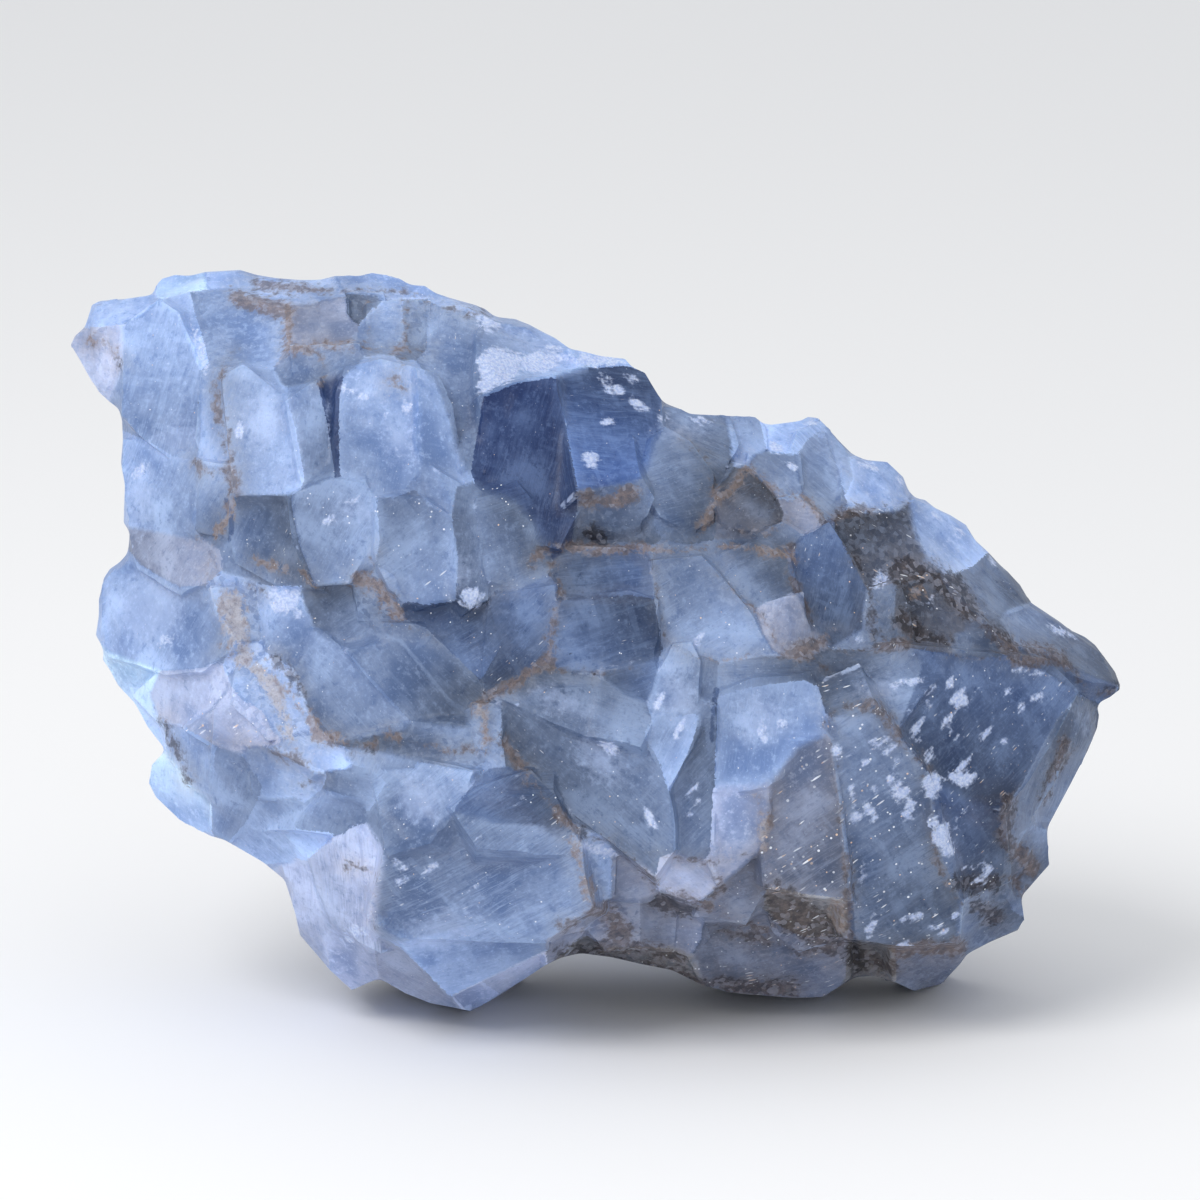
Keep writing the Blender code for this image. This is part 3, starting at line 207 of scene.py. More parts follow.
    "under_ledge_left": ([(298, 590), (345, 581), (366, 600), (363, 640), (352, 657), (330, 642), (298, 617)], 0.6, 0, -0.1),
    "orange_patch": ([(354, 574), (402, 571), (404, 600), (392, 622), (360, 620)], 0.6, 0, 0),
    "ridge_pale": ([(300, 616), (332, 640), (352, 655), (412, 722), (405, 739), (340, 742), (305, 706), (298, 660)], 3.6, 0.05, -0.1),
    "navy_strip": ([(350, 655), (402, 638), (452, 703), (470, 730), (410, 723)], 2.2, -0.1, 0),
    "tan_column": ([(474, 705), (498, 703), (502, 731), (496, 753), (473, 747)], 4.2, 0, 0),
    "granular_low": ([(410, 722), (472, 727), (476, 745), (472, 772), (420, 763), (368, 750), (340, 742)], 2.6, 0, 0.1),
    "left_lobe": ([(127, 530), (160, 533), (196, 541), (207, 560), (200, 581), (180, 593), (160, 583), (136, 567)], 0.6, 0.3, -0.1),
    "left_bulge": ([(128, 553), (165, 586), (200, 591), (215, 620), (237, 645), (200, 670), (165, 672), (104, 653),
                    (96, 630), (100, 587)], 2.4, 0.3, -0.1),
    "tan_left": ([(213, 590), (252, 588), (262, 620), (260, 642), (236, 647), (215, 622)], 1.2, 0, 0),
    "tan_left_low": ([(230, 640), (264, 640), (264, 673), (230, 670)], 1.6, 0.1, 0),
    "lavender_lens": ([(133, 695), (160, 670), (216, 666), (228, 690), (216, 714), (185, 726), (157, 721)], 2.8, 0.22, 0),
    "left_edge": ([(100, 645), (160, 671), (133, 695), (158, 722), (166, 750), (148, 728), (118, 685), (103, 662)], -1.0, 0.5, 0.1),
    "sparkling_left": ([(200, 712), (228, 688), (276, 700), (280, 746), (215, 747), (188, 728)], 2.4, 0.1, 0),
    "star_bruise": ([(260, 590), (300, 587), (320, 615), (302, 622), (299, 662), (268, 657), (257, 620)], 2.4, 0.05, -0.05),
    "sand_patch": ([(234, 650), (275, 654), (305, 700), (313, 736), (270, 737), (234, 702)], 2.8, 0.05, 0),
    "left_low_strip": ([(164, 720), (216, 744), (213, 806), (188, 784), (168, 755)], 2.0, 0.25, 0.1),
    "navy_triangle": ([(214, 743), (272, 783), (249, 828), (228, 844), (211, 833)], 2.8, 0.15, 0.12),
    "left_foot": ([(166, 751), (188, 783), (212, 806), (213, 839), (180, 821), (155, 797), (148, 782), (152, 764)], 1.4, 0.4, 0.25),
    "mid_low_left": ([(248, 748), (278, 747), (327, 775), (302, 792), (275, 802), (256, 802)], 2.6, 0.1, 0.05),
    "lavender_ridge": ([(276, 746), (303, 727), (344, 752), (347, 768), (314, 772)], 4.2, 0.05, -0.1),
    "lavender_ridge_right": ([(345, 754), (368, 747), (423, 760), (418, 774), (368, 770)], 4.4, 0, -0.1),
    "lavender_under_ridge": ([(326, 772), (368, 768), (420, 772), (400, 792), (372, 802), (334, 794)], 3.6, 0, 0.05),
    "corner_face": ([(370, 770), (422, 761), (472, 771), (456, 808), (430, 842), (386, 852), (378, 805)], 5.0, 0.1, -0.2),
    "slate_triangle": ([(291, 828), (334, 791), (360, 797), (347, 835)], 3.6, 0, 0),
    "bright_triangle": ([(280, 829), (334, 832), (306, 862)], 4.0, 0.1, 0.05),
    "left_cluster": ([(248, 827), (258, 790), (293, 800), (293, 828), (281, 830), (291, 862), (262, 863), (226, 843)], 2.4, 0.2, 0.2),
    "striated_lavender": ([(307, 859), (350, 828), (381, 850), (378, 900), (372, 952), (340, 932), (314, 892)], 4.4, 0.12, 0.08),
    "left_low_pale": ([(283, 868), (308, 859), (323, 900), (326, 962), (300, 936), (294, 905)], 2.0, 0.3, 0.2),
    "left_low_tip": ([(322, 940), (340, 930), (373, 950), (379, 979), (352, 992), (330, 971)], 2.0, 0.1, 0.4),
    "big_face": ([(385, 850), (430, 838), (480, 800), (552, 798), (582, 850), (592, 905), (546, 941), (478, 906),
                  (400, 943), (372, 927)], 6.0, 0.02, -0.05),
    "big_face_navy": ([(453, 808), (478, 788), (530, 772), (562, 798), (574, 850), (540, 852), (478, 846)], 5.4, -0.1, -0.12),
    "bottom_rhomb": ([(398, 942), (478, 905), (546, 939), (546, 950), (451, 997)], 6.2, 0, 0.4),
    "bottom_under_left": ([(450, 994), (482, 980), (502, 995), (471, 1012), (460, 1009)], 3.6, 0, 0.8),
    "bottom_under_right": ([(480, 981), (546, 950), (549, 967), (501, 996)], 2.6, 0, 0.8),
    "bottom_dark": ([(374, 941), (400, 950), (456, 1001), (466, 1012), (430, 1005), (404, 994), (379, 979)], 2.6, 0, 0.5),
    "bottom_right_edge": ([(545, 940), (575, 924), (583, 930), (565, 956), (547, 967)], 3.6, -0.3, 0.3),
    "grainy_lavender": ([(568, 838), (600, 834), (614, 860), (612, 898), (580, 906), (568, 870)], 4.0, 0, 0),
    "grey_pale_low": ([(610, 854), (652, 868), (657, 892), (640, 902), (611, 899)], 3.4, 0, 0.05),
    "brown_low": ([(588, 902), (642, 900), (642, 949), (605, 950), (590, 930)], 1.8, 0, 0.3),
    "navy_low": ([(638, 900), (665, 889), (674, 915), (670, 951), (638, 949)], 1.6, 0, 0.2),
    "notch": ([(546, 964), (575, 940), (602, 944), (607, 955), (580, 955)], -2.5, 0, 0.5),
    "foot_brown": ([(603, 944), (672, 944), (702, 958), (704, 987), (672, 972), (611, 959)], -0.6, 0, 0.5),
    "wedge_pale": ([(653, 850), (690, 857), (713, 864), (720, 887), (702, 902), (658, 890)], 4.0, 0, 0.1),
    "tan_crystal_top": ([(284, 305), (320, 301), (323, 350), (287, 351)], 0.8, 0, -0.3),
    "lavender_top": ([(320, 299), (347, 297), (348, 350), (322, 351)], 1.2, -0.05, -0.3),
    "brown_top": ([(290, 348), (357, 344), (358, 372), (322, 384), (292, 376)], 1.6, 0, 0),
    "pit_top": ([(345, 292), (381, 291), (382, 314), (347, 315)], -1.0, 0, -0.3),
    "quartered_top": ([(367, 303), (404, 299), (407, 346), (370, 350)], 2.0, 0, -0.25),
    "brown_top_right": ([(400, 299), (428, 298), (429, 350), (403, 354)], 1.4, 0, -0.25),
    "crest_left": ([(258, 275), (300, 279), (335, 275), (346, 296), (300, 304), (260, 296)], 0, 0, -0.6),
    "crest_middle": ([(335, 275), (372, 272), (400, 278), (425, 285), (428, 300), (380, 300), (346, 295)], 0.2, 0, -0.6),
    "crest_right": ([(425, 285), (450, 297), (485, 308), (498, 318), (480, 330), (428, 304)], 0.4, -0.1, -0.55),
}

# The blocks that don't show from the front: how many, and their sizes.
HIDDEN_BLOCKS = 120
HIDDEN_RADIUS = (0.0070, 0.0135)
HIDDEN_DEPTH = 0.021
HIDDEN_SLOPE = 0.42
HIDDEN_LEAN = 0.13

# The feet: plan outlines (mm) of the cleavage corners that the lump rests on, ground flat at z = 0.
FEET = {
    "foot_left": [(-30, 9), (-28, -7), (-13, -11), (-7, -1), (-9, 15), (-22, 20)],
    "foot_middle": [(14, 8), (18, -5), (33, -7), (39, 7), (35, 20), (20, 19)],
    "foot_right": [(41, 10), (43, 0), (52, -1), (56, 12), (47, 19)],
}
FOOT_ROOTS = [(-0.0180, 0.0030, 0.0160), (0.0270, 0.0070, 0.0150), (0.0490, 0.0060, 0.0115)]
FOOT_HEIGHT = 0.009
FOOT_SLOPE = 0.22


# ---------------------------------------------------------------- tones
# A tone is a family and a step from dark (0) to light (9): b blue, m deeper blue, n navy, d deep navy, g grey, o olive grey, k brown.
FAMILIES = {
    "b": (0.83, 0.96, 1.21),
    "m": (0.76, 0.94, 1.30),
    "n": (0.69, 0.92, 1.39),
    "d": (0.60, 0.88, 1.52),
    "g": (0.895, 0.96, 1.145),
    "o": (0.97, 0.985, 1.045),
    "k": (1.10, 0.99, 0.91),
}

DEPTH = 0.86     # the tones are set down as they look in the drawing's light

# The tones that the crystals come in, each at its darker side and at its lighter one.
TONES = {
    "white": "b7.4 b8.6", "pale": "b6.2 b7.5", "lavender": "g6.0 g7.4", "light": "b4.9 b6.4", "mid": "b3.7 b5.3",
    "slate": "b2.0 b4.2", "deep": "m1.0 m2.8", "navy": "n0.6 n3.4", "midnight": "d0.1 d0.6", "grey": "g3.0 g4.2",
    "tan": "g4.2 g5.6", "brown": "o2.6 o4.6", "umber": "g0.6 g2.6",
}

# Which crystals have which tone, as judged.
LOOKS = {
    "white": (
        "crest_slab_left left_foot left_edge"
    ),
    "pale": (
        "tip_slab_upper crest_slab_cyan crest_left crest_middle crest_right left_band crest_cyan_right "
        "right_shoulder bright_triangle lavender_ridge sand_patch tan_left_low crest_stepped right_crest_pale"
    ),
    "lavender": (
        "tip lavender_lens sparkling_left striated_lavender left_low_pale left_low_tip bottom_under_left "
        "bottom_under_right pale_plate_low wedge_pale"
    ),
    "light": (
        "left_pale grey_flank hexagon column column_right crest_bruised crest_pale left_bulge tan_left "
        "star_bruise left_low_strip mid_low_left left_cluster bottom_rhomb bright_lower pale_plate "
        "quartered_top olive_crest upper_granular grainy_lavender left_striated"
    ),
    "mid": (
        "left_dark low_pale streaked granular_top upper_stripes ridge_pale orange_patch tan_column "
        "lavender_ridge_right lavender_under_ridge corner_face big_face bright_upper brown_top "
        "brown_top_right hexagon_side upper_navy slate_triangle navy_triangle grey_green"
    ),
    "slate": (
        "low_dark sliver grey_shelf under_navy grey_gem saddle_navy blue_chip lavender_chip mid_right "
        "right_tip right_block_left olive_block right_slab_outer right_slab_inner right_low_grey "
        "right_low_olive right_foot plate_ledge gap_band navy_wedge big_teal teal_shelf lavender_strip "
        "navy_strip granular_low pit_top under_ledge_left right_mid pink_gem"
    ),
    "deep": (
        "deep_navy right_tip_under right_block right_block_low navy_chip mid_block arc_block teal_slope "
        "under_ledge_navy big_face_navy"
    ),
    "navy": (
        "navy_right"
    ),
    "midnight": (
        "navy_left slit"
    ),
    "grey": (
        "streaked_plate right_heel navy_low grey_triangle foot_teal"
    ),
    "tan": (
        "tan_gem left_lobe tan_chip tan_crystal_top lavender_top foot_pale grey_pale_low brown_low bottom_dark "
        "bottom_right_edge"
    ),
    "brown": (
        "tan_right right_hollow brown_recess notch foot_brown"
    ),
    "umber": (
        "brown_gem brown_hollow brown_rough"
    ),
}
TONE_OF = {name: tone for tone, names in LOOKS.items() for name in names.split()}

# Joints between two blocks: how soft (0 crisp, 1 soft) and how it looks (-1 dark, partly a joint and partly painted
# shade; 1 pale, partly frost and partly a painted highlight on the edge).
JOINTS = {
    ("streaked_plate", "olive_block"): (0, 1), ("streaked_plate", "brown_recess"): (0, 1), ("streaked_plate", "pale_plate"): (0.9, 0),
    ("streaked_plate", "pale_plate_low"): (0.9, 0), ("pale_plate", "pale_plate_low"): (1, 0), ("navy_left", "navy_right"): (0, 0.8),
    ("hexagon", "hexagon_side"): (0, 0.6), ("column", "column_right"): (0.8, 0), ("low_pale", "streaked"): (0.2, 0.5),
    ("low_dark", "low_pale"): (0.2, -0.5), ("hexagon", "low_dark"): (0.7, 0), ("big_face", "big_face_navy"): (0.75, 0),
    ("corner_face", "big_face_navy"): (0.1, 0), ("right_block", "right_block_low"): (1, 0), ("right_block_left", "right_block"): (0.6, 0),
    ("left_striated", "left_band"): (0.7, 0.3), ("arc_block", "mid_block"): (0.1, -0.7), ("bright_upper", "gap_band"): (0, 0.2),
    ("pale_plate", "navy_wedge"): (0, 0.4), ("pale_plate", "gap_band"): (0, 0.4), ("bright_lower", "navy_wedge"): (0, 0.4),
    ("big_teal", "teal_shelf"): (0.85, 0.4), ("big_teal", "bright_lower"): (0, 0), ("ridge_pale", "navy_strip"): (0.1, -0.3),
    ("navy_triangle", "left_low_strip"): (0, 0), ("navy_triangle", "mid_low_left"): (0, 0), ("right_slab_inner", "right_block"): (0.3, 0.6),
    ("slit", "column"): (0, 0.3), ("slit", "hexagon_side"): (0, 0), ("sliver", "streaked"): (0.5, 0.4), ("sliver", "grey_shelf"): (0.6, 0),
    ("granular_top", "column_right"): (0.8, 0), ("streaked", "grey_shelf"): (0.9, 0), ("bottom_rhomb", "bottom_dark"): (0, 0.4),
    ("bottom_rhomb", "big_face"): (0.7, 0.2), ("left_lobe", "left_bulge"): (0.1, -0.4), ("plate_ledge", "pale_plate"): (0.1, 0.5),
    ("grey_triangle", "streaked_plate"): (0.1, 0.3), ("wedge_pale", "big_teal"): (0.4, 0.2), ("deep_navy", "brown_rough"): (0.3, -0.4),
    ("right_shoulder", "right_mid"): (0.2, 0.4), ("left_pale", "left_striated"): (0.3, 0.3), ("left_dark", "left_pale"): (0.1, 0),
}

# Striations: how strong, and which way they run (degrees).
STRIPES = {
    "left_striated": (0.75, 78), "left_band": (0.35, 75), "left_pale": (0.5, 45), "grey_flank": (0.3, 80), "hexagon": (0.22, 75),
    "hexagon_side": (0.3, 80), "column": (0.28, 80), "column_right": (0.35, 80), "low_pale": (0.3, 60), "low_dark": (0.35, 60),
    "streaked": (0.5, 35), "sliver": (0.4, 75), "grey_shelf": (0.5, 20), "granular_top": (0.4, 75), "navy_left": (0.5, 74),
    "navy_right": (0.85, 12), "crest_bruised": (0.2, 20), "under_navy": (0.3, 20), "grey_gem": (0.45, 25),
    "saddle_navy": (0.5, -40), "crest_pale": (0.3, -50), "crest_stepped": (0.5, -50), "upper_navy": (0.5, -50),
    "upper_stripes": (0.9, -52), "right_crest_pale": (0.4, -45), "brown_gem": (0.3, 40), "blue_chip": (0.5, 30),
    "deep_navy": (0.8, 70), "grey_green": (0.5, 30), "right_shoulder": (0.4, -40), "right_mid": (0.5, -35),
    "mid_right": (0.4, 60), "right_tip": (0.5, -25), "right_block_left": (0.45, 25), "right_block": (0.55, 35),
    "right_block_low": (0.5, 35), "olive_block": (0.7, 35), "right_slab_outer": (0.7, 70), "right_slab_inner": (0.7, 70),
    "foot_teal": (0.5, 25), "grey_triangle": (0.5, 40), "streaked_plate": (0.8, 35), "pale_plate": (0.25, 80),
    "pale_plate_low": (0.3, 60), "plate_ledge": (0.4, 5), "bright_upper": (0.3, 70), "bright_lower": (0.3, 60),
    "gap_band": (0.4, 80), "navy_wedge": (0.55, 45), "big_teal": (0.5, -42), "teal_shelf": (0.4, -20),
    "navy_chip": (0.4, 20), "mid_block": (0.6, 8), "arc_block": (0.75, 18), "teal_slope": (0.55, 42),
    "under_ledge_navy": (0.55, 30), "lavender_strip": (0.5, -42), "under_ledge_left": (0.4, 30), "ridge_pale": (0.4, -45),
    "navy_strip": (0.5, -48), "left_lobe": (0.3, 30), "left_bulge": (0.35, 40), "lavender_lens": (0.4, 60),
    "left_low_strip": (0.5, 70), "navy_triangle": (0.4, 60), "left_foot": (0.3, 60), "corner_face": (0.45, 32),
    "striated_lavender": (0.8, 72), "left_low_pale": (0.5, 70), "big_face": (0.85, 34), "big_face_navy": (0.8, 36),
    "bottom_rhomb": (0.4, 22), "bottom_under_left": (0.4, 20), "bottom_dark": (0.4, -40), "lavender_ridge": (0.3, -20),
}

# How thickly small painted glints, highlights set into the surface colour, lie on a block (0 to 1); 0.25 where a block
# isn't named.
GLINTS = {
    "streaked_plate": 1.0, "olive_block": 0.9, "right_block": 0.6, "right_block_low": 0.6, "big_face": 0.6, "streaked": 0.75,
    "low_pale": 0.6, "low_dark": 0.5, "sparkling_left": 0.95, "deep_navy": 0.6, "grey_green": 0.6, "pale_plate": 0.45,
    "left_striated": 0.45, "brown_recess": 0.8, "foot_teal": 0.7, "foot_brown": 0.6, "granular_top": 0.55, "star_bruise": 0.6,
    "sand_patch": 0.6, "grey_shelf": 0.65, "column": 0.4, "big_teal": 0.45, "teal_slope": 0.5, "arc_block": 0.4,
    "under_ledge_navy": 0.5, "brown_hollow": 0.8, "brown_rough": 0.6, "foot_pale": 0.7, "corner_face": 0.5,
    "grainy_lavender": 0.7, "wedge_pale": 0.6, "grey_triangle": 0.6, "navy_right": 0.35, "navy_left": 0.3, "hexagon": 0.3,
}

# How granular a block is (0 to 1).
GRAIN = {
    "upper_granular": 0.5, "granular_top": 0.3, "brown_rough": 1.0, "brown_hollow": 1.0, "brown_recess": 1.0, "foot_brown": 0.8,
    "brown_low": 0.8, "foot_teal": 0.35, "tan_left": 0.8, "tan_left_low": 0.8, "sand_patch": 0.6, "orange_patch": 0.8,
    "granular_low": 0.45, "brown_top": 0.5, "brown_top_right": 0.6, "tan_crystal_top": 0.3, "quartered_top": 0.3,
    "pit_top": 0.6, "tan_chip": 0.4, "tan_right": 0.5, "pink_gem": 0.4, "right_tip_under": 0.6, "right_hollow": 0.9,
    "notch": 0.8, "navy_low": 0.4, "grainy_lavender": 0.6, "grey_pale_low": 0.3, "right_low_olive": 0.6,
    "right_low_grey": 0.3, "tan_column": 0.5, "left_cluster": 0.2, "crest_left": 0.3, "crest_middle": 0.5,
    "crest_right": 0.4, "mid_right": 0.4, "olive_crest": 0.3, "right_foot": 0.5, "right_heel": 0.5, "under_navy": 0.5,
    "tip": 0.3, "bottom_right_edge": 0.4,
}

# Stained seams: width in drawing units, tone (0 pale sand, 0.35 orange tan, 0.65 brown, 1 nearly black), and the line.
SEAMS = [
    (11, 0.35, [(94, 340), (106, 344), (116, 352)]),
    (5, 1.00, [(118, 359), (119, 364)]),
    (5, 0.55, [(258, 284), (300, 289), (345, 290), (400, 291), (428, 298), (482, 313)]),
    (13, 0.50, [(236, 298), (250, 303), (266, 306), (286, 312)]),
    (5, 0.40, [(287, 306), (289, 350), (322, 351), (322, 384)]),
    (5, 0.40, [(290, 348), (357, 346), (370, 350), (404, 349), (430, 352)]),
    (5, 0.35, [(369, 303), (369, 349)]),
    (4, 0.40, [(403, 299), (406, 347), (404, 366)]),
    (11, 0.40, [(397, 382), (403, 388)]),
    (7, 0.50, [(237, 350), (224, 366), (214, 388), (217, 415), (226, 450), (232, 476), (236, 500)]),
    (6, 0.30, [(236, 500), (228, 520), (214, 540), (208, 562), (214, 590)]),
    (24, 0.10, [(232, 602), (238, 630), (246, 660)]),
    (16, 0.30, [(232, 648), (250, 660), (262, 672)]),
    (20, 0.00, [(256, 668), (276, 700), (290, 734)]),
    (7, 0.35, [(250, 560), (275, 566), (306, 572), (314, 588)]),
    (4, 0.70, [(250, 586), (262, 592), (276, 602)]),
    (4, 0.75, [(275, 660), (298, 680), (305, 705)]),
    (9, 0.30, [(262, 674), (300, 706), (318, 734), (344, 744)]),
    (18, 0.35, [(360, 578), (378, 584), (392, 600), (400, 616)]),
    (6, 0.45, [(392, 600), (398, 622), (386, 626)]),
    (8, 0.50, [(330, 744), (350, 746), (372, 744)]),
    (6, 0.85, [(364, 745), (369, 747)]),
    (5, 0.45, [(388, 734), (402, 738)]),
    (5, 0.45, [(410, 742), (440, 752), (472, 750), (500, 738)]),
    (8, 0.50, [(500, 738), (512, 756), (526, 772), (545, 800), (562, 818), (580, 832)]),
    (9, 1.00, [(581, 831), (587, 838)]),
    (9, 0.60, [(588, 836), (614, 842), (638, 864), (655, 886), (676, 894), (702, 900)]),
    (7, 0.55, [(702, 900), (740, 922), (768, 930)]),
    (16, 0.25, [(575, 845), (582, 872), (592, 896)]),
    (12, 0.55, [(560, 924), (582, 920), (594, 912)]),
    (6, 0.50, [(555, 565), (560, 590), (553, 622), (550, 658), (520, 680), (482, 702)]),
    (8, 0.50, [(530, 560), (546, 548), (576, 546), (610, 550), (640, 544)]),
    (20, 0.50, [(588, 500), (612, 502), (636, 494)]),
    (13, 1.00, [(590, 532), (600, 538)]),
    (4, 0.55, [(680, 440), (698, 456), (712, 478)]),
    (10, 0.35, [(640, 547), (665, 552), (700, 548), (740, 546), (790, 556)]),
    (7, 0.35, [(715, 572), (735, 592), (765, 620), (776, 640)]),
    (7, 0.45, [(712, 478), (713, 505), (702, 532), (690, 548)]),
    (6, 0.45, [(713, 500), (732, 490), (748, 468)]),
    (7, 0.40, [(748, 468), (766, 484), (786, 500), (800, 497), (820, 515)]),
    (7, 0.40, [(740, 532), (765, 534), (788, 520)]),
    (6, 0.90, [(764, 614), (769, 627)]),
    (12, 0.30, [(818, 640), (836, 632)]),
    (20, 0.60, [(796, 655), (822, 642)]),
    (7, 0.60, [(822, 645), (850, 652), (876, 648), (908, 642)]),
    (9, 0.15, [(700, 656), (722, 662), (746, 656)]),
    (5, 0.60, [(746, 656), (780, 656), (815, 662), (826, 668)]),
    (5, 0.55, [(655, 562), (656, 600), (664, 640), (690, 656)]),
    (5, 0.60, [(790, 545), (788, 572), (800, 598), (810, 622)]),
    (7, 0.65, [(822, 524), (850, 512), (880, 506), (908, 504)]),
    (8, 0.80, [(852, 560), (868, 592), (872, 640)]),
    (26, 0.85, [(905, 572), (930, 568), (950, 588), (966, 612)]),
    (18, 0.90, [(905, 622), (925, 636), (950, 640)]),
    (12, 0.30, [(916, 590), (928, 598)]),
    (10, 0.70, [(966, 612), (990, 628), (1006, 642)]),
    (8, 0.60, [(1006, 646), (1050, 652), (1074, 670), (1086, 692), (1110, 690)]),
    (7, 1.00, [(1104, 690), (1119, 688)]),
    (8, 0.60, [(948, 655), (1000, 660), (1046, 660)]),
    (10, 0.65, [(1064, 744), (1058, 764), (1048, 784), (1040, 796)]),
    (14, 0.55, [(1018, 852), (1030, 868)]),
    (11, 0.60, [(1014, 880), (1022, 894)]),
    (5, 0.40, [(772, 788), (771, 806), (769, 824)]),
    (12, 0.15, [(758, 796), (764, 818), (762, 848)]),
    (5, 0.55, [(840, 712), (875, 705), (897, 733), (927, 772), (936, 820), (936, 860), (950, 890), (962, 903)]),
    (5, 0.60, [(826, 704), (832, 724), (838, 790), (845, 850), (848, 900), (850, 938)]),
    (26, 0.90, [(962, 884), (990, 882)]),
    (26, 0.85, [(976, 906), (994, 914)]),
    (36, 0.75, [(780, 902), (800, 918), (826, 938)]),
    (12, 0.25, [(836, 908), (838, 930)]),
    (20, 1.00, [(852, 950), (862, 966)]),
    (22, 0.70, [(872, 958), (886, 968)]),
    (14, 0.55, [(896, 950), (940, 950), (958, 946)]),
    (16, 0.85, [(660, 900), (684, 908)]),
    (22, 0.60, [(604, 912), (620, 936)]),
    (8, 1.00, [(556, 955), (580, 950), (600, 956)]),
    (16, 0.75, [(606, 962), (650, 966), (690, 980), (740, 990), (790, 990)]),
    (12, 0.70, [(604, 946), (640, 950), (680, 958)]),
    (8, 0.70, [(720, 930), (760, 938), (800, 952), (845, 944)]),
    (3, 0.65, [(350, 868), (364, 868), (376, 874)]),
    (3, 0.65, [(375, 876), (374, 900), (374, 926)]),
    (4, 0.75, [(162, 720), (174, 744), (187, 780)]),
    (4, 0.55, [(215, 742), (246, 744), (276, 752), (295, 759), (324, 775), (302, 786)]),
    (5, 0.50, [(196, 462), (202, 470), (234, 472)]),
    (5, 0.35, [(200, 540), (216, 566), (220, 590)]),
    (6, 0.30, [(378, 548), (374, 566), (362, 578)]),
    (6, 0.50, [(455, 600), (470, 610), (488, 602), (500, 590)]),
    (6, 0.55, [(400, 624), (426, 634), (440, 640)]),
    (5, 0.55, [(546, 664), (560, 672), (600, 672), (640, 668)]),
    (8, 0.25, [(478, 706), (488, 728), (484, 750)]),
    (10, 0.70, [(1008, 800), (1004, 830), (1010, 856)]),
    (7, 0.60, [(712, 862), (720, 888), (702, 902)]),
    (5, 0.60, [(652, 852), (680, 858), (712, 862), (756, 852)]),
]

# Dark cracks between crystals: width at the start and at the end, and the line.
CRACKS = [
    (6, 4, [(588, 534), (596, 540), (606, 536)]), (6, 4, [(850, 904), (852, 930), (858, 960)]), (6, 4, [(226, 500), (232, 520), (230, 540)]),
    (5, 4, [(716, 690), (713, 720), (712, 740)]),
]

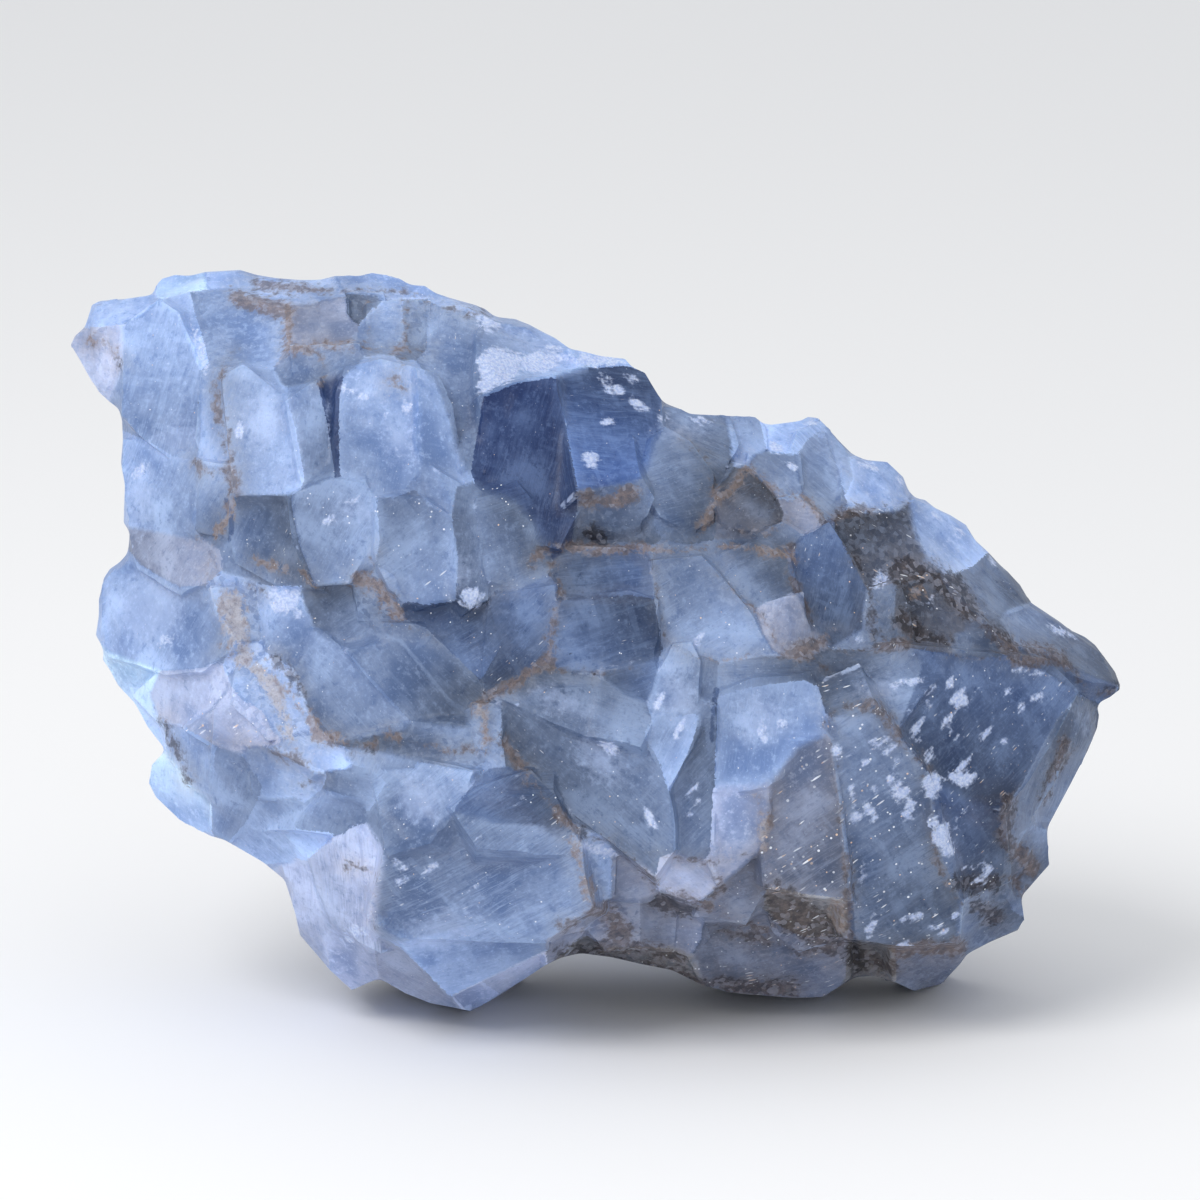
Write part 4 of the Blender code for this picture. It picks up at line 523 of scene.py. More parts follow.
# White bruises: middle, half-length and half-width in drawing units, and the way of the length (degrees).
BRUISES = [
    (286, 602, 17, 11, 30), (276, 596, 9, 6, -40), (298, 612, 8, 5, -60), (407, 408, 6, 7, 0), (346, 389, 9, 3, -10), (362, 396, 9, 2.5, -20),
    (385, 415, 3, 2, 0), (390, 430, 3, 2, 0), (396, 450, 3, 2, 0), (398, 458, 2.5, 2, 0), (194, 334, 4, 16, 20),
    (202, 352, 4, 13, 15), (206, 368, 3, 7, 0), (489, 322, 12, 10, -20), (498, 366, 21, 20, 0), (486, 384, 10, 9, 0), (514, 358, 10, 8, 0),
    (541, 362, 19, 12, 10), (552, 352, 10, 7, 0), (594, 360, 32, 7, -6), (606, 380, 11, 4, -15), (615, 390, 10, 4, -15),
    (638, 403, 12, 4, -30), (609, 421, 6, 4, 10), (632, 378, 8, 4, -20), (591, 460, 7, 8, 20), (586, 458, 4, 5, 0),
    (470, 596, 13, 9, 10), (473, 602, 8, 6, 0), (776, 448, 8, 6, -45), (791, 466, 6, 4, -45), (880, 578, 8, 7, 0), (876, 586, 5, 3, 0),
    (912, 605, 4, 3, 0), (930, 600, 3, 3, 0), (610, 749, 13, 5, -20), (602, 744, 6, 3, -25), (762, 731, 4.5, 11, 10), (783, 725, 6.5, 4, -20),
    (960, 699, 9, 11, -10), (949, 719, 11, 3.5, 50), (927, 706, 3, 4, 0), (918, 725, 15, 3.5, 60), (931, 691, 8, 3, 55),
    (961, 728, 14, 1.8, 60), (951, 731, 5, 1.5, 60), (985, 734, 11, 3.5, 50), (1004, 740, 3.5, 2, 30), (900, 684, 10, 3, 20),
    (915, 682, 8, 3, 20), (951, 683, 6, 3, 55), (975, 690, 5, 2, 40), (875, 744, 7, 5, 40), (886, 740, 5, 4, 40), (889, 751, 10, 3, 45),
    (897, 758, 5, 3, 45), (837, 753, 4.5, 7, 0), (852, 757, 3.5, 2.5, 0), (865, 763, 4, 3, 0), (919, 741, 3.5, 3.5, 0), (929, 755, 5, 7, -20),
    (960, 768, 19, 4, 40), (964, 779, 12, 6, 10), (932, 786, 9, 15, -15), (900, 792, 9, 11, 0), (892, 777, 3, 7, -15), (910, 803, 6, 6, 0),
    (907, 814, 5, 5, 0), (852, 796, 3.5, 12, 10), (869, 809, 5, 8, 30), (856, 818, 7, 6, 0), (873, 818, 5, 6, 0), (874, 790, 1.8, 4, 0),
    (942, 835, 9, 19, 10), (934, 824, 7, 8, 0), (960, 818, 16, 2.5, 55), (958, 828, 9, 2, 35), (947, 848, 8, 9, 0), (862, 874, 2.5, 10, -10),
    (985, 867, 5, 8, 40), (981, 880, 8, 3, 20), (968, 869, 6, 2, 0), (912, 917, 13, 4, 15), (938, 928, 10, 4.5, -10), (871, 925, 3.5, 13, -15),
    (955, 917, 5, 4, 0), (906, 945, 9, 3.5, 0), (1037, 697, 7, 4, 40), (1028, 672, 22, 3.5, -10), (1010, 690, 6, 2, 40), (1022, 708, 5, 2, 50),
    (356, 932, 13, 7, -10), (350, 938, 7, 5, 0), (600, 850, 18, 5, -15), (586, 846, 7, 4, 0), (860, 640, 5, 3, 0),
    (140, 470, 12, 5, 45), (168, 640, 10, 4, 30), (352, 500, 8, 4, 30), (330, 520, 10, 4, 20), (240, 430, 4, 10, 0), (664, 418, 5, 4, 0),
    (700, 420, 14, 3, -8), (812, 424, 8, 3, 0), (866, 466, 12, 3, -15), (900, 480, 6, 4, -40), (960, 532, 12, 3, -40), (996, 562, 9, 3, -40),
    (936, 516, 8, 3, -30), (1060, 630, 18, 4, -28), (660, 700, 10, 4, 60), (680, 730, 12, 4, 70), (650, 820, 4, 14, 20), (700, 640, 9, 3, 60),
    (430, 868, 9, 2.5, 35), (480, 838, 14, 2, 36), (394, 862, 5, 3, 0), (404, 870, 4, 3, 0), (400, 882, 5, 3, 0),
    (692, 790, 9, 2, 50), (700, 800, 8, 2, 50), (690, 812, 7, 2, 50), (476, 884, 14, 2, 42), (470, 820, 12, 2, 38), (520, 800, 10, 1.6, 40),
]

# Pale frosted patches: middle, half-length, half-width and way, as for the bruises, but soft and only lightly white.
FROST = [
    (120, 312, 40, 12, 8), (200, 282, 50, 10, 4), (178, 440, 30, 26, 30), (262, 420, 26, 34, 0), (296, 470, 12, 30, 10), (372, 386, 34, 18, 0),
    (400, 440, 22, 30, 0), (352, 512, 24, 16, 0), (140, 500, 20, 40, 0), (540, 345, 60, 16, -22), (150, 610, 40, 40, 0), (180, 690, 40, 16, 10),
    (190, 800, 20, 40, 30), (300, 760, 40, 14, -10), (420, 800, 30, 30, 30), (330, 900, 20, 40, 10), (440, 930, 50, 24, 25),
    (680, 700, 22, 40, 10), (760, 720, 30, 30, 0), (740, 840, 16, 26, 0), (860, 480, 40, 14, -30), (950, 530, 40, 12, -45), (680, 430, 30, 12, 0),
    (560, 700, 34, 16, -20), (600, 760, 34, 20, -40), (880, 690, 30, 18, 0), (1085, 720, 10, 24, 20), (460, 575, 14, 26, 0),
]


# ---------------------------------------------------------------- the rounded form
def inside_outline(px, py):
    """Which points of the drawing lie inside the outline."""
    hit = np.zeros(px.shape, bool)
    for (x0, y0), (x1, y1) in zip(OUTLINE, OUTLINE[1:] + OUTLINE[:1]):
        if y0 == y1:
            continue
        crosses = (y0 > py) != (y1 > py)
        hit ^= crosses & (px < (x1 - x0) * (py - y0) / (y1 - y0) + x0)
    return hit


STEP = 10
GX, GY = np.meshgrid(np.arange(0, 1201, STEP), np.arange(0, 1201, STEP))
WITHIN = inside_outline(GX.astype(float), GY.astype(float))


def inflate():
    """A height over the outline, 0 at its edge and 1 at its deepest point, round like a cushion."""
    h = np.zeros(GX.shape)
    for _ in range(2500):
        around = np.zeros_like(h)
        around[1:-1, 1:-1] = (h[:-2, 1:-1] + h[2:, 1:-1] + h[1:-1, :-2] + h[1:-1, 2:]) / 4 + 1.0
        h = np.where(WITHIN, around, 0.0)
    return np.sqrt(h / h.max())


FORM = inflate()


def sample(grid, x, y):
    x = np.clip(np.asarray(x, float) / STEP, 0, grid.shape[1] - 1.001)
    y = np.clip(np.asarray(y, float) / STEP, 0, grid.shape[0] - 1.001)
    i, j = x.astype(int), y.astype(int)
    fx, fy = x - i, y - j
    return ((grid[j, i] * (1 - fx) + grid[j, i + 1] * fx) * (1 - fy)
            + (grid[j + 1, i] * (1 - fx) + grid[j + 1, i + 1] * fx) * fy)


def front_height(x, y):
    """Metres that the rounded form stands forward of the middle plane at a point of the drawing."""
    w = FRONT_BULGE * sample(FORM, x, y)
    for cx, cy, rx, ry, mm in SWELLS:
        w = w + 0.001 * mm * np.exp(-(((np.asarray(x) - cx) / rx) ** 2) - ((np.asarray(y) - cy) / ry) ** 2)
    return w


def back_height(x, y):
    return -BACK_BULGE * sample(FORM, x, y)


def drawn(x, y, w):
    """The point in space seen at (x, y) of the drawing, w metres forward of the middle plane."""
    shrink = (VIEW_DISTANCE - w) / VIEW_DISTANCE
    return MIDDLE + ((x - 600) * UNIT * RIGHT + (600 - y) * UNIT * UP) * shrink + w * NEAR



# ---------------------------------------------------------------- random ripples
LOW = np.array((-0.0775, -0.0445, -0.0020))
HIGH = np.array((0.0775, 0.0445, 0.1065))


class Ripple:
    """Smooth random values over the lump, from -1 to 1, with hills about `size` metres apart."""

    def __init__(self, size, seed):
        count = np.ceil((HIGH - LOW) / size).astype(int) + 4
        self.size = size
        self.values = np.random.default_rng(seed).uniform(-1, 1, count).astype(np.float32)

    def place(self, values, k):
        t = (values - LOW[k]) / self.size + 1.0
        i = np.clip(np.floor(t).astype(np.int32), 0, self.values.shape[k] - 2)
        f = np.clip(t - i, 0, 1).astype(np.float32)
        return i, f * f * (3 - 2 * f)

    def on_grid(self, axes):
        v = self.values
        for k in range(3):
            i, f = self.place(axes[k], k)
            shape = [1, 1, 1]
            shape[k] = -1
            f = f.reshape(shape)
            v = np.take(v, i, axis=k) * (1 - f) + np.take(v, i + 1, axis=k) * f
        return v

    def at(self, p):
        (i, fx), (j, fy), (k, fz) = (self.place(p[:, a], a) for a in range(3))
        v = self.values
        low = (v[i, j, k] * (1 - fx) + v[i + 1, j, k] * fx) * (1 - fy) + (v[i, j + 1, k] * (1 - fx) + v[i + 1, j + 1, k] * fx) * fy
        k = k + 1
        high = (v[i, j, k] * (1 - fx) + v[i + 1, j, k] * fx) * (1 - fy) + (v[i, j + 1, k] * (1 - fx) + v[i + 1, j + 1, k] * fx) * fy
        return low * (1 - fz) + high * fz


# Each is a list of ripples with the height of each in metres.
BEND = [[(Ripple(0.012, 1 + k), 0.00040), (Ripple(0.0042, 11 + k), 0.00016)] for k in range(3)]
WAVE = [(Ripple(0.0055, 31), 0.00016), (Ripple(0.0019, 32), 0.00005)]
WEAR = [(Ripple(0.0075, 33), 0.6), (Ripple(0.0021, 34), 0.4)]
LUMPS = [(Ripple(0.0021, 35), 0.55), (Ripple(0.0011, 36), 0.45)]


def ripples_on_grid(ripples, axes):
    return sum(r.on_grid(axes) * np.float32(height) for r, height in ripples)


def ripples_at(ripples, p):
    return sum(r.at(p) * np.float32(height) for r, height in ripples)


# ---------------------------------------------------------------- blocks
class Block:
    """A cleavage block: the planes of its face, sides and base."""

    def __init__(self, name, face, normal, depth, slope, kind, rng=None):
        face = np.array(face)
        self.name, self.kind, self.normal = name, kind, np.array(normal)
        self.middle = face.mean(axis=0)
        self.reach = float(np.linalg.norm(face - self.middle, axis=1).mean())
        wider = 1.0 + slope * depth / self.reach
        across = np.cross(self.normal, UP if abs(self.normal @ UP) < 0.9 else RIGHT)
        across /= np.linalg.norm(across)
        along = np.cross(self.normal, across)
        flat = np.c_[(face - self.middle) @ across, (face - self.middle) @ along]
        ring = face[outer_ring(flat)]
        normals, offsets = [self.normal], [self.normal @ self.middle]
        for a, b in zip(ring, np.roll(ring, -1, axis=0)):
            deep = self.middle + (a - self.middle) * wider - self.normal * depth
            side = np.cross(b - a, deep - a)
            side /= np.linalg.norm(side)
            if side @ (self.middle - a) > 0:
                side = -side
            if rng is not None:
                # cleavage cuts a side anywhere from steep to half way over
                out = side - self.normal * (side @ self.normal)
                out /= np.linalg.norm(out)
                tilt = math.radians(rng.choice([rng.uniform(6, 14), rng.uniform(14, 24), rng.uniform(24, 36)], p=[0.55, 0.3, 0.15]))
                side = out * math.cos(tilt) + self.normal * math.sin(tilt)
            normals.append(side)
            offsets.append(side @ a + (0.00018 if rng is not None else 0.0))
        if rng is not None and self.reach > 0.0022:
            # shallow facets cut across the corners of the face
            start = rng.uniform(0, 2 * math.pi)
            for n in range(int(rng.integers(1, 4))):
                turn = start + n * rng.uniform(1.6, 2.6)
                out = math.cos(turn) * across + math.sin(turn) * along
                lean = math.radians(rng.uniform(8, 26))
                cut = self.normal * math.cos(lean) + out * math.sin(lean)
                edge_at = ((ring - self.middle) @ out).max()
                normals.append(cut)
                offsets.append(cut @ (self.middle + out * edge_at * rng.uniform(0.42, 0.85)))
        normals.append(-self.normal)
        offsets.append(-(self.normal @ self.middle) + depth)
        self.normals = np.array(normals)
        self.offsets = np.array(offsets)
        if rng is not None:
            wider = 1.0 + 1.3 * depth / self.reach
        corners = np.vstack([ring, self.middle + (ring - self.middle) * wider - self.normal * depth])
        self.low, self.high = corners.min(axis=0), corners.max(axis=0)
        self.step_way, self.step_run, self.step_rise = across, 0.01, 0.0
        self.grain = 0.0


def outer_ring(points):
    """Indices of the convex ring round flat points, in order."""
    order = sorted(range(len(points)), key=lambda i: (points[i][0], points[i][1]))

    def half(indices):
        chain = []
        for i in indices:
            while len(chain) > 1:
                (ax, ay), (bx, by), (cx, cy) = points[chain[-2]], points[chain[-1]], points[i]
                if (bx - ax) * (cy - ay) - (by - ay) * (cx - ax) > 1e-12:
                    break
                chain.pop()
            chain.append(i)
        return chain[:-1]

    return half(order) + half(order[::-1])


def face_on_form(corners, rise_mm, lean_right, lean_up):
    """The corners, in space, of a cleavage face drawn at corners, and the face's outward normal."""
    corners = np.array(corners, float)
    cx, cy = corners.mean(axis=0)
    d = 12.0
    follow = 0.72
    slope_r = (front_height(cx + d, cy) - front_height(cx - d, cy)) / (2 * d * UNIT)
    slope_u = (front_height(cx, cy - d) - front_height(cx, cy + d)) / (2 * d * UNIT)
    slope_r = float(np.clip(follow * slope_r, -0.7, 0.7)) + lean_right
    slope_u = float(np.clip(follow * slope_u, -0.7, 0.7)) + lean_up
    w = float(front_height(cx, cy)) + 0.001 * rise_mm
    centre = drawn(cx, cy, w)
    normal = -slope_r * RIGHT - slope_u * UP + NEAR
    normal /= np.linalg.norm(normal)
    face = []
    for x, y in corners:
        ray = drawn(x, y, 0.0) - EYE
        face.append(EYE + ray * (normal @ (centre - EYE)) / (normal @ ray))
    return face, normal


def form_point(direction, inset):
    """Where a ray from the middle of the lump leaves the rounded form, less an inset."""
    start = drawn(600.0, 640.0, 0.0)
    low, high = 0.0, 0.12
    for _ in range(22):
        reach = (low + high) / 2
        p = start + direction * reach - MIDDLE
        w = p @ NEAR
        shrink = (VIEW_DISTANCE - w) / VIEW_DISTANCE
        x = 600 + (p @ RIGHT) / (UNIT * shrink)
        y = 600 - (p @ UP) / (UNIT * shrink)
        within = bool(inside_outline(np.array([x]), np.array([y]))[0]) and (
            float(back_height(x, y)) - 0.001 < w < float(front_height(x, y)) + 0.001
        )
        low, high = (reach, high) if within else (low, reach)
    return start + direction * max(low - inset, 0.004)


def ring_gap(ring, x, y):
    """Distance in drawing units from a convex ring: below 0 inside."""
    best = np.full(np.shape(x), -1e9)
    for (ax, ay), (bx, by) in zip(ring, np.roll(ring, -1, axis=0)):
        long = math.hypot(bx - ax, by - ay) + 1e-9
        best = np.maximum(best, -((bx - ax) * (y - ay) - (by - ay) * (x - ax)) / long)
    return best


def plane_height(normal, point, x, y):
    """How far forward a plane lies at points of the drawing."""
    spot = MIDDLE + (x[..., None] - 600) * UNIT * RIGHT + (600 - y[..., None]) * UNIT * UP
    ray = spot - EYE
    reach = (normal @ (point - EYE)) / (ray @ normal)
    return (EYE + ray * reach[..., None] - MIDDLE) @ NEAR


def levelled():
    """The rises of the front faces, evened out with their neighbours': the crystals have grown together."""
    names = list(FRONT)
    rings = [np.array(FRONT[n][0], float)[outer_ring(FRONT[n][0])] for n in names]
    rises = [float(FRONT[n][1]) for n in names]
    for _ in range(2):
        planes = [face_on_form(FRONT[n][0], rise, *FRONT[n][2:]) for n, rise in zip(names, rises)]
        moved = []
        for i, ring in enumerate(rings):
            middle = ring.mean(axis=0)
            points = np.vstack([ring, (ring + np.roll(ring, -1, axis=0)) / 2])
            points = points + 5 * (points - middle) / np.linalg.norm(points - middle, axis=1)[:, None]
            x, y = points[:, 0], points[:, 1]
            gaps = np.array([ring_gap(r, x, y) if j != i else np.full(len(x), 1e3) for j, r in enumerate(rings)])
            nearest = gaps.argmin(axis=0)
            own = plane_height(planes[i][1], planes[i][0][0], x, y)
            steps = [own[k] - plane_height(planes[j][1], planes[j][0][0], x[k:k + 1], y[k:k + 1])[0]
                     for k, j in enumerate(nearest) if gaps[j, k] < 9]
            step = np.clip(np.mean(steps), -0.004, 0.004) if steps else 0.0
            moved.append(rises[i] - 0.32 * step * 1000)
        rises = moved
    return dict(zip(names, rises))


def front_blocks():
    rng = np.random.default_rng(SEED + 5)
    blocks = []
    rises = levelled()
    for name, (corners, rise, lean_right, lean_up) in FRONT.items():
        face, normal = face_on_form(corners, rises[name], lean_right, lean_up)
        block = Block(name, face, normal, BLOCK_DEPTH, 0.14, "front", rng)
        block.grain = GRAIN.get(name, 0.0)
        block.ring = np.array(corners, float)[outer_ring(corners)]
        blocks.append(block)
    return blocks


def hidden_blocks():
    rng = np.random.default_rng(SEED)
    golden = math.pi * (3 - math.sqrt(5))
    blocks = []
    total = 210
    for i in range(total):
        # directions spread evenly over a sphere, keeping those that point away from the viewer
        z = 1 - 2 * (i + 0.5) / total
        r = math.sqrt(1 - z * z)
        a = golden * i
        d = r * math.cos(a) * RIGHT + r * math.sin(a) * UP - z * NEAR
        spin, size, lean = rng.random(), rng.random(), rng.normal(0, HIDDEN_LEAN, 3)
        sides, jitter = int(rng.integers(4, 7)), rng.uniform(0.75, 1.15, 7)
        rise = rng.uniform(-0.0015, 0.0010)
        if d @ NEAR > -0.06 or len(blocks) >= HIDDEN_BLOCKS:
            continue
        # the form is wide and flat, so its surface faces back more than the ray does
        stretched = d * np.array((0.55, 1.0, 0.8))
        normal = stretched / np.linalg.norm(stretched) + lean
        normal /= np.linalg.norm(normal)
        point = form_point(d, 0.0) + normal * rise
        across = np.cross(normal, UP)
        across /= np.linalg.norm(across)
        along = np.cross(normal, across)
        radius = HIDDEN_RADIUS[0] + (HIDDEN_RADIUS[1] - HIDDEN_RADIUS[0]) * size
        face = [
            point + radius * jitter[k] * (
                math.cos(2 * math.pi * (k / sides + spin)) * across * 1.25
                + math.sin(2 * math.pi * (k / sides + spin)) * along * 0.85
            )
            for k in range(sides)
        ]
        # no block stands far out of the form
        proud = 0.0
        for corner in face:
            w = (corner - MIDDLE) @ NEAR
            shrink = (VIEW_DISTANCE - w) / VIEW_DISTANCE
            x, y = 600 + ((corner - MIDDLE) @ RIGHT) / (UNIT * shrink), 600 - ((corner - MIDDLE) @ UP) / (UNIT * shrink)
            if inside_outline(np.array([x]), np.array([y]))[0]:
                proud = max(proud, float(back_height(x, y)) - w)
        face = [corner - normal * max(proud - 0.0058, 0.0) for corner in face]
        blocks.append(Block(f"hidden_{len(blocks):02d}", face, normal, HIDDEN_DEPTH, HIDDEN_SLOPE, "hidden"))
    return blocks


def rim_blocks():
    """Facets that fall away behind the outline, one after another along it."""
    rng = np.random.default_rng(SEED + 1)
    corners = [np.array(p, float) for p in OUTLINE] + [np.array(OUTLINE[0], float)]
    lengths = [0.0]
    for a, b in zip(corners, corners[1:]):
        lengths.append(lengths[-1] + float(np.linalg.norm(b - a)))
    total = lengths[-1]

    def along_outline(s):
        s = s % total
        k = max(i for i, d in enumerate(lengths[:-1]) if d <= s)
        t = (s - lengths[k]) / (lengths[k + 1] - lengths[k])
        return corners[k] * (1 - t) + corners[k + 1] * t

    s, blocks = 0.0, []
    while s < total - RIM_RUN[0] * 0.5:
        run = float(rng.uniform(*RIM_RUN))
        inward_by, fall, shift = float(rng.uniform(*RIM_INWARD)), float(rng.uniform(*RIM_FALL)), rng.uniform(-0.25, 0.25, 2)
        a, b = along_outline(s - 3), along_outline(s + run + 3)
        s += run
        way = (b - a) / np.linalg.norm(b - a)
        inward = np.array((-way[1], way[0]))
        a, b = a - 3 * inward, b - 3 * inward
        middle = (a + b) / 2
        p, q = drawn(a[0], a[1], 0.001), drawn(b[0], b[1], 0.001)
        deep = drawn(*(middle + inward * inward_by), -fall) - drawn(middle[0], middle[1], 0.001)
        side = q - p
        face = [p, q, q + deep - side * (0.15 + shift[0]), p + deep + side * (0.15 + shift[1])]
        normal = np.cross(side, deep)
        normal /= np.linalg.norm(normal)
        outward = drawn(middle[0], middle[1], 0.0) - drawn(*(middle + inward * inward_by), 0.0)
        if normal @ outward < 0:
            normal = -normal
        blocks.append(Block(f"rim_{len(blocks):02d}", face, normal, 0.020, 0.2, "rim"))
    return blocks


def feet():
    rng = np.random.default_rng(SEED + 3)
    blocks = []
    for n, (x, y, r) in enumerate(FOOT_ROOTS):
        # crystals round the feet
        for k in range(7):
            turn = 2 * math.pi * (k + rng.uniform(0.0, 0.7)) / 7 + n
            out = np.array((math.cos(turn), math.sin(turn), 0.0))
            normal = out + np.array((0.0, 0.0, rng.uniform(-0.75, -0.15)))
            normal /= np.linalg.norm(normal)
            reach, size = r * rng.uniform(0.80, 1.05), rng.uniform(0.0060, 0.0095)
            point = np.array((x, y, rng.uniform(0.0070, 0.0130))) + out * reach
            across = np.cross(normal, (0.0, 0.0, 1.0))
            across /= np.linalg.norm(across)
            along = np.cross(normal, across)
            spin, sides = rng.random(), int(rng.integers(4, 6))
            face = [point + size * rng.uniform(0.8, 1.15) * (math.cos(2 * math.pi * (i / sides + spin)) * across
                    + math.sin(2 * math.pi * (i / sides + spin)) * along * 0.8) for i in range(sides)]
            for corner in face:
                corner[2] = max(corner[2], 0.0012)
            blocks.append(Block(f"root_{n}{k}", face, normal, 0.015, 0.15, "hidden"))
    for name, plan in FEET.items():
        face = [np.array((x * 0.001, y * 0.001, -0.001)) for x, y in plan]
        blocks.append(Block(name, face, (0.0, 0.0, -1.0), FOOT_HEIGHT, FOOT_SLOPE, "foot"))
    return blocks


BLOCKS = front_blocks() + hidden_blocks() + rim_blocks() + feet()
ROCK = len(BLOCKS)      # the granular rock between the blocks counts as one more block

rng = np.random.default_rng(SEED + 7)
for block in BLOCKS:
    turn = rng.uniform(0, math.pi)
    other = np.cross(block.normal, block.step_way)
    block.step_way = math.cos(turn) * block.step_way + math.sin(turn) * other
    block.step_run = rng.uniform(0.0045, 0.0095)
    block.step_rise = float(rng.choice([0.0, 0.00012, 0.00025, 0.00040], p=[0.3, 0.3, 0.25, 0.15]))
    if block.kind != "front":
        block.step_rise *= 1.6
        block.grain = float(rng.choice([0.0, 0.25, 0.7], p=[0.6, 0.25, 0.15]))
    if block.kind == "foot":
        block.step_rise = 0.0


# ---------------------------------------------------------------- the field of distances
def on_drawing(p):
    q = p - MIDDLE
    w = q @ NEAR
    shrink = (VIEW_DISTANCE - w) / VIEW_DISTANCE
    return 600 + (q @ RIGHT) / (UNIT * shrink), 600 - (q @ UP) / (UNIT * shrink), w, shrink


def distance_to_line(px, py, line):
    best = np.full(np.shape(px), 1e9)
    for (x0, y0), (x1, y1) in zip(line, line[1:]):
        dx, dy = x1 - x0, y1 - y0
        t = np.clip(((px - x0) * dx + (py - y0) * dy) / (dx * dx + dy * dy + 1e-9), 0, 1)
        best = np.minimum(best, (px - x0 - t * dx) ** 2 + (py - y0 - t * dy) ** 2)
    return np.sqrt(best)


FINE = 3
FX, FY = np.meshgrid(np.arange(0, 1201, FINE).astype(float), np.arange(0, 1201, FINE).astype(float))
EDGE_DISTANCE = distance_to_line(FX, FY, OUTLINE + OUTLINE[:1]) * np.where(inside_outline(FX, FY), -1, 1)


def fine_sample(grid, x, y):
    x = np.clip(x / FINE, 0, grid.shape[1] - 1.001)
    y = np.clip(y / FINE, 0, grid.shape[0] - 1.001)
    i, j = x.astype(np.int32), y.astype(np.int32)
    fx, fy = x - i, y - j
    return ((grid[j, i] * (1 - fx) + grid[j, i + 1] * fx) * (1 - fy)
            + (grid[j + 1, i] * (1 - fx) + grid[j + 1, i + 1] * fx) * fy)


def spread(grid, reach, take):
    """Each value becomes the lowest (or the mean) of those within reach, both ways in turn."""
    for axis in (0, 1):
        if take == "mean":
            padded = np.pad(grid, [(reach, reach) if a == axis else (0, 0) for a in (0, 1)], mode="edge")
            total = np.cumsum(padded, axis=axis)
            total = np.insert(total, 0, 0.0, axis=axis)
            n = grid.shape[axis]
            grid = (np.take(total, range(2 * reach + 1, 2 * reach + 1 + n), axis=axis) - np.take(total, range(n), axis=axis)) / (
                2 * reach + 1)
        else:
            grid = np.min([np.roll(grid, s, axis=axis) for s in range(-reach, reach + 1)], axis=0)
    return grid


def heights_on_drawing():
    """How far forward the blocks stand at each point of the drawing, and which block is nearest there."""
    top = np.full(FX.shape, -1.0)
    owner = np.full(FX.shape, -1)
    for index, block in enumerate(BLOCKS):
        if block.kind != "front":
            continue
        corners = np.array(FRONT[block.name][0], float)
        ring = corners[outer_ring(corners)]
        (x0, y0), (x1, y1) = corners.min(axis=0), corners.max(axis=0)
        i0, i1, j0, j1 = int(x0 // FINE), int(x1 // FINE) + 2, int(y0 // FINE), int(y1 // FINE) + 2
        px, py = FX[j0:j1, i0:i1], FY[j0:j1, i0:i1]
        inside = np.ones(px.shape, bool)
        for (ax, ay), (bx, by) in zip(ring, np.roll(ring, -1, axis=0)):
            inside &= (bx - ax) * (py - ay) - (by - ay) * (px - ax) >= 0
        spot = MIDDLE + (px[..., None] - 600) * UNIT * RIGHT + (600 - py[..., None]) * UNIT * UP
        ray = spot - EYE
        reach = (block.normal @ (block.middle - EYE)) / (ray @ block.normal)
        w = (EYE + ray * reach[..., None] - MIDDLE) @ NEAR
        better = inside & (w > top[j0:j1, i0:i1])
        top[j0:j1, i0:i1][better] = w[better]
        owner[j0:j1, i0:i1][better] = index
    form = front_height(FX, FY)
    bare = owner < 0
    # between the blocks the rock runs smoothly from one block's side to the next one's
    fill = np.where(bare, form, top - 0.00060)
    outside = ~inside_outline(FX, FY)
    for _ in range(260):
        around = (np.roll(fill, 1, 0) + np.roll(fill, -1, 0) + np.roll(fill, 1, 1) + np.roll(fill, -1, 1)) / 4
        fill = np.where(bare & ~outside, around, fill)
    for _ in range(14):
        for axis, way in ((0, 1), (0, -1), (1, 1), (1, -1)):
            moved = np.roll(owner, way, axis=axis)
            owner = np.where(owner < 0, moved, owner)
    fill = spread(fill, 1, "mean")
    # but well inside a block it lies deeper, so that it doesn't come through where the block is chipped
    inner = spread(np.where(bare, 0.0, 1.0), 3, "least")
    return fill - 0.0016 * spread(inner, 1, "mean"), owner


FILL, OWNER = heights_on_drawing()
FILL = FILL - 0.0001
FORM_FRONT = front_height(FX, FY)
FORM_BACK = -back_height(FX, FY)
FILL = np.maximum(FILL, 0.55 * FORM_FRONT - 0.0003)
BEHIND = np.maximum(FORM_BACK - 0.0030, 0.50 * FORM_BACK)


def rock_value(p, lumps, x, y, w):
    """The granular rock that fills the gaps between the blocks in front, and the lump's inside."""
    ahead = w - fine_sample(FILL, x, y)
    value = np.maximum(ahead, -w - fine_sample(BEHIND, x, y)) * 0.85
    for n, (i, j, r) in enumerate(FOOT_ROOTS):
        z = np.clip(p[:, 2], 0.0, 0.022)
        wide = ahead
        for k in range(5):
            turn = 1.257 * k + 1.3 * n + 0.25 * math.sin(7.0 * k + n)
            side = (p[:, 0] - i) * math.cos(turn) + (p[:, 1] - j) * math.sin(turn)
            wide = np.maximum(wide, side - r * 0.45 - (0.58 + 0.34 * math.sin(5.1 * k + 2.0 * n)) * z)
        value = np.minimum(value, np.maximum(wide, p[:, 2] - 0.030) * 0.80)
    return value + lumps * 0.00042


def trimmed(value, p, x, y, shrink):
    value = np.maximum(value, fine_sample(EDGE_DISTANCE, x, y) * UNIT * shrink)
    return np.maximum(value, np.maximum(-p[:, 2], p[:, 1] - 0.0425))


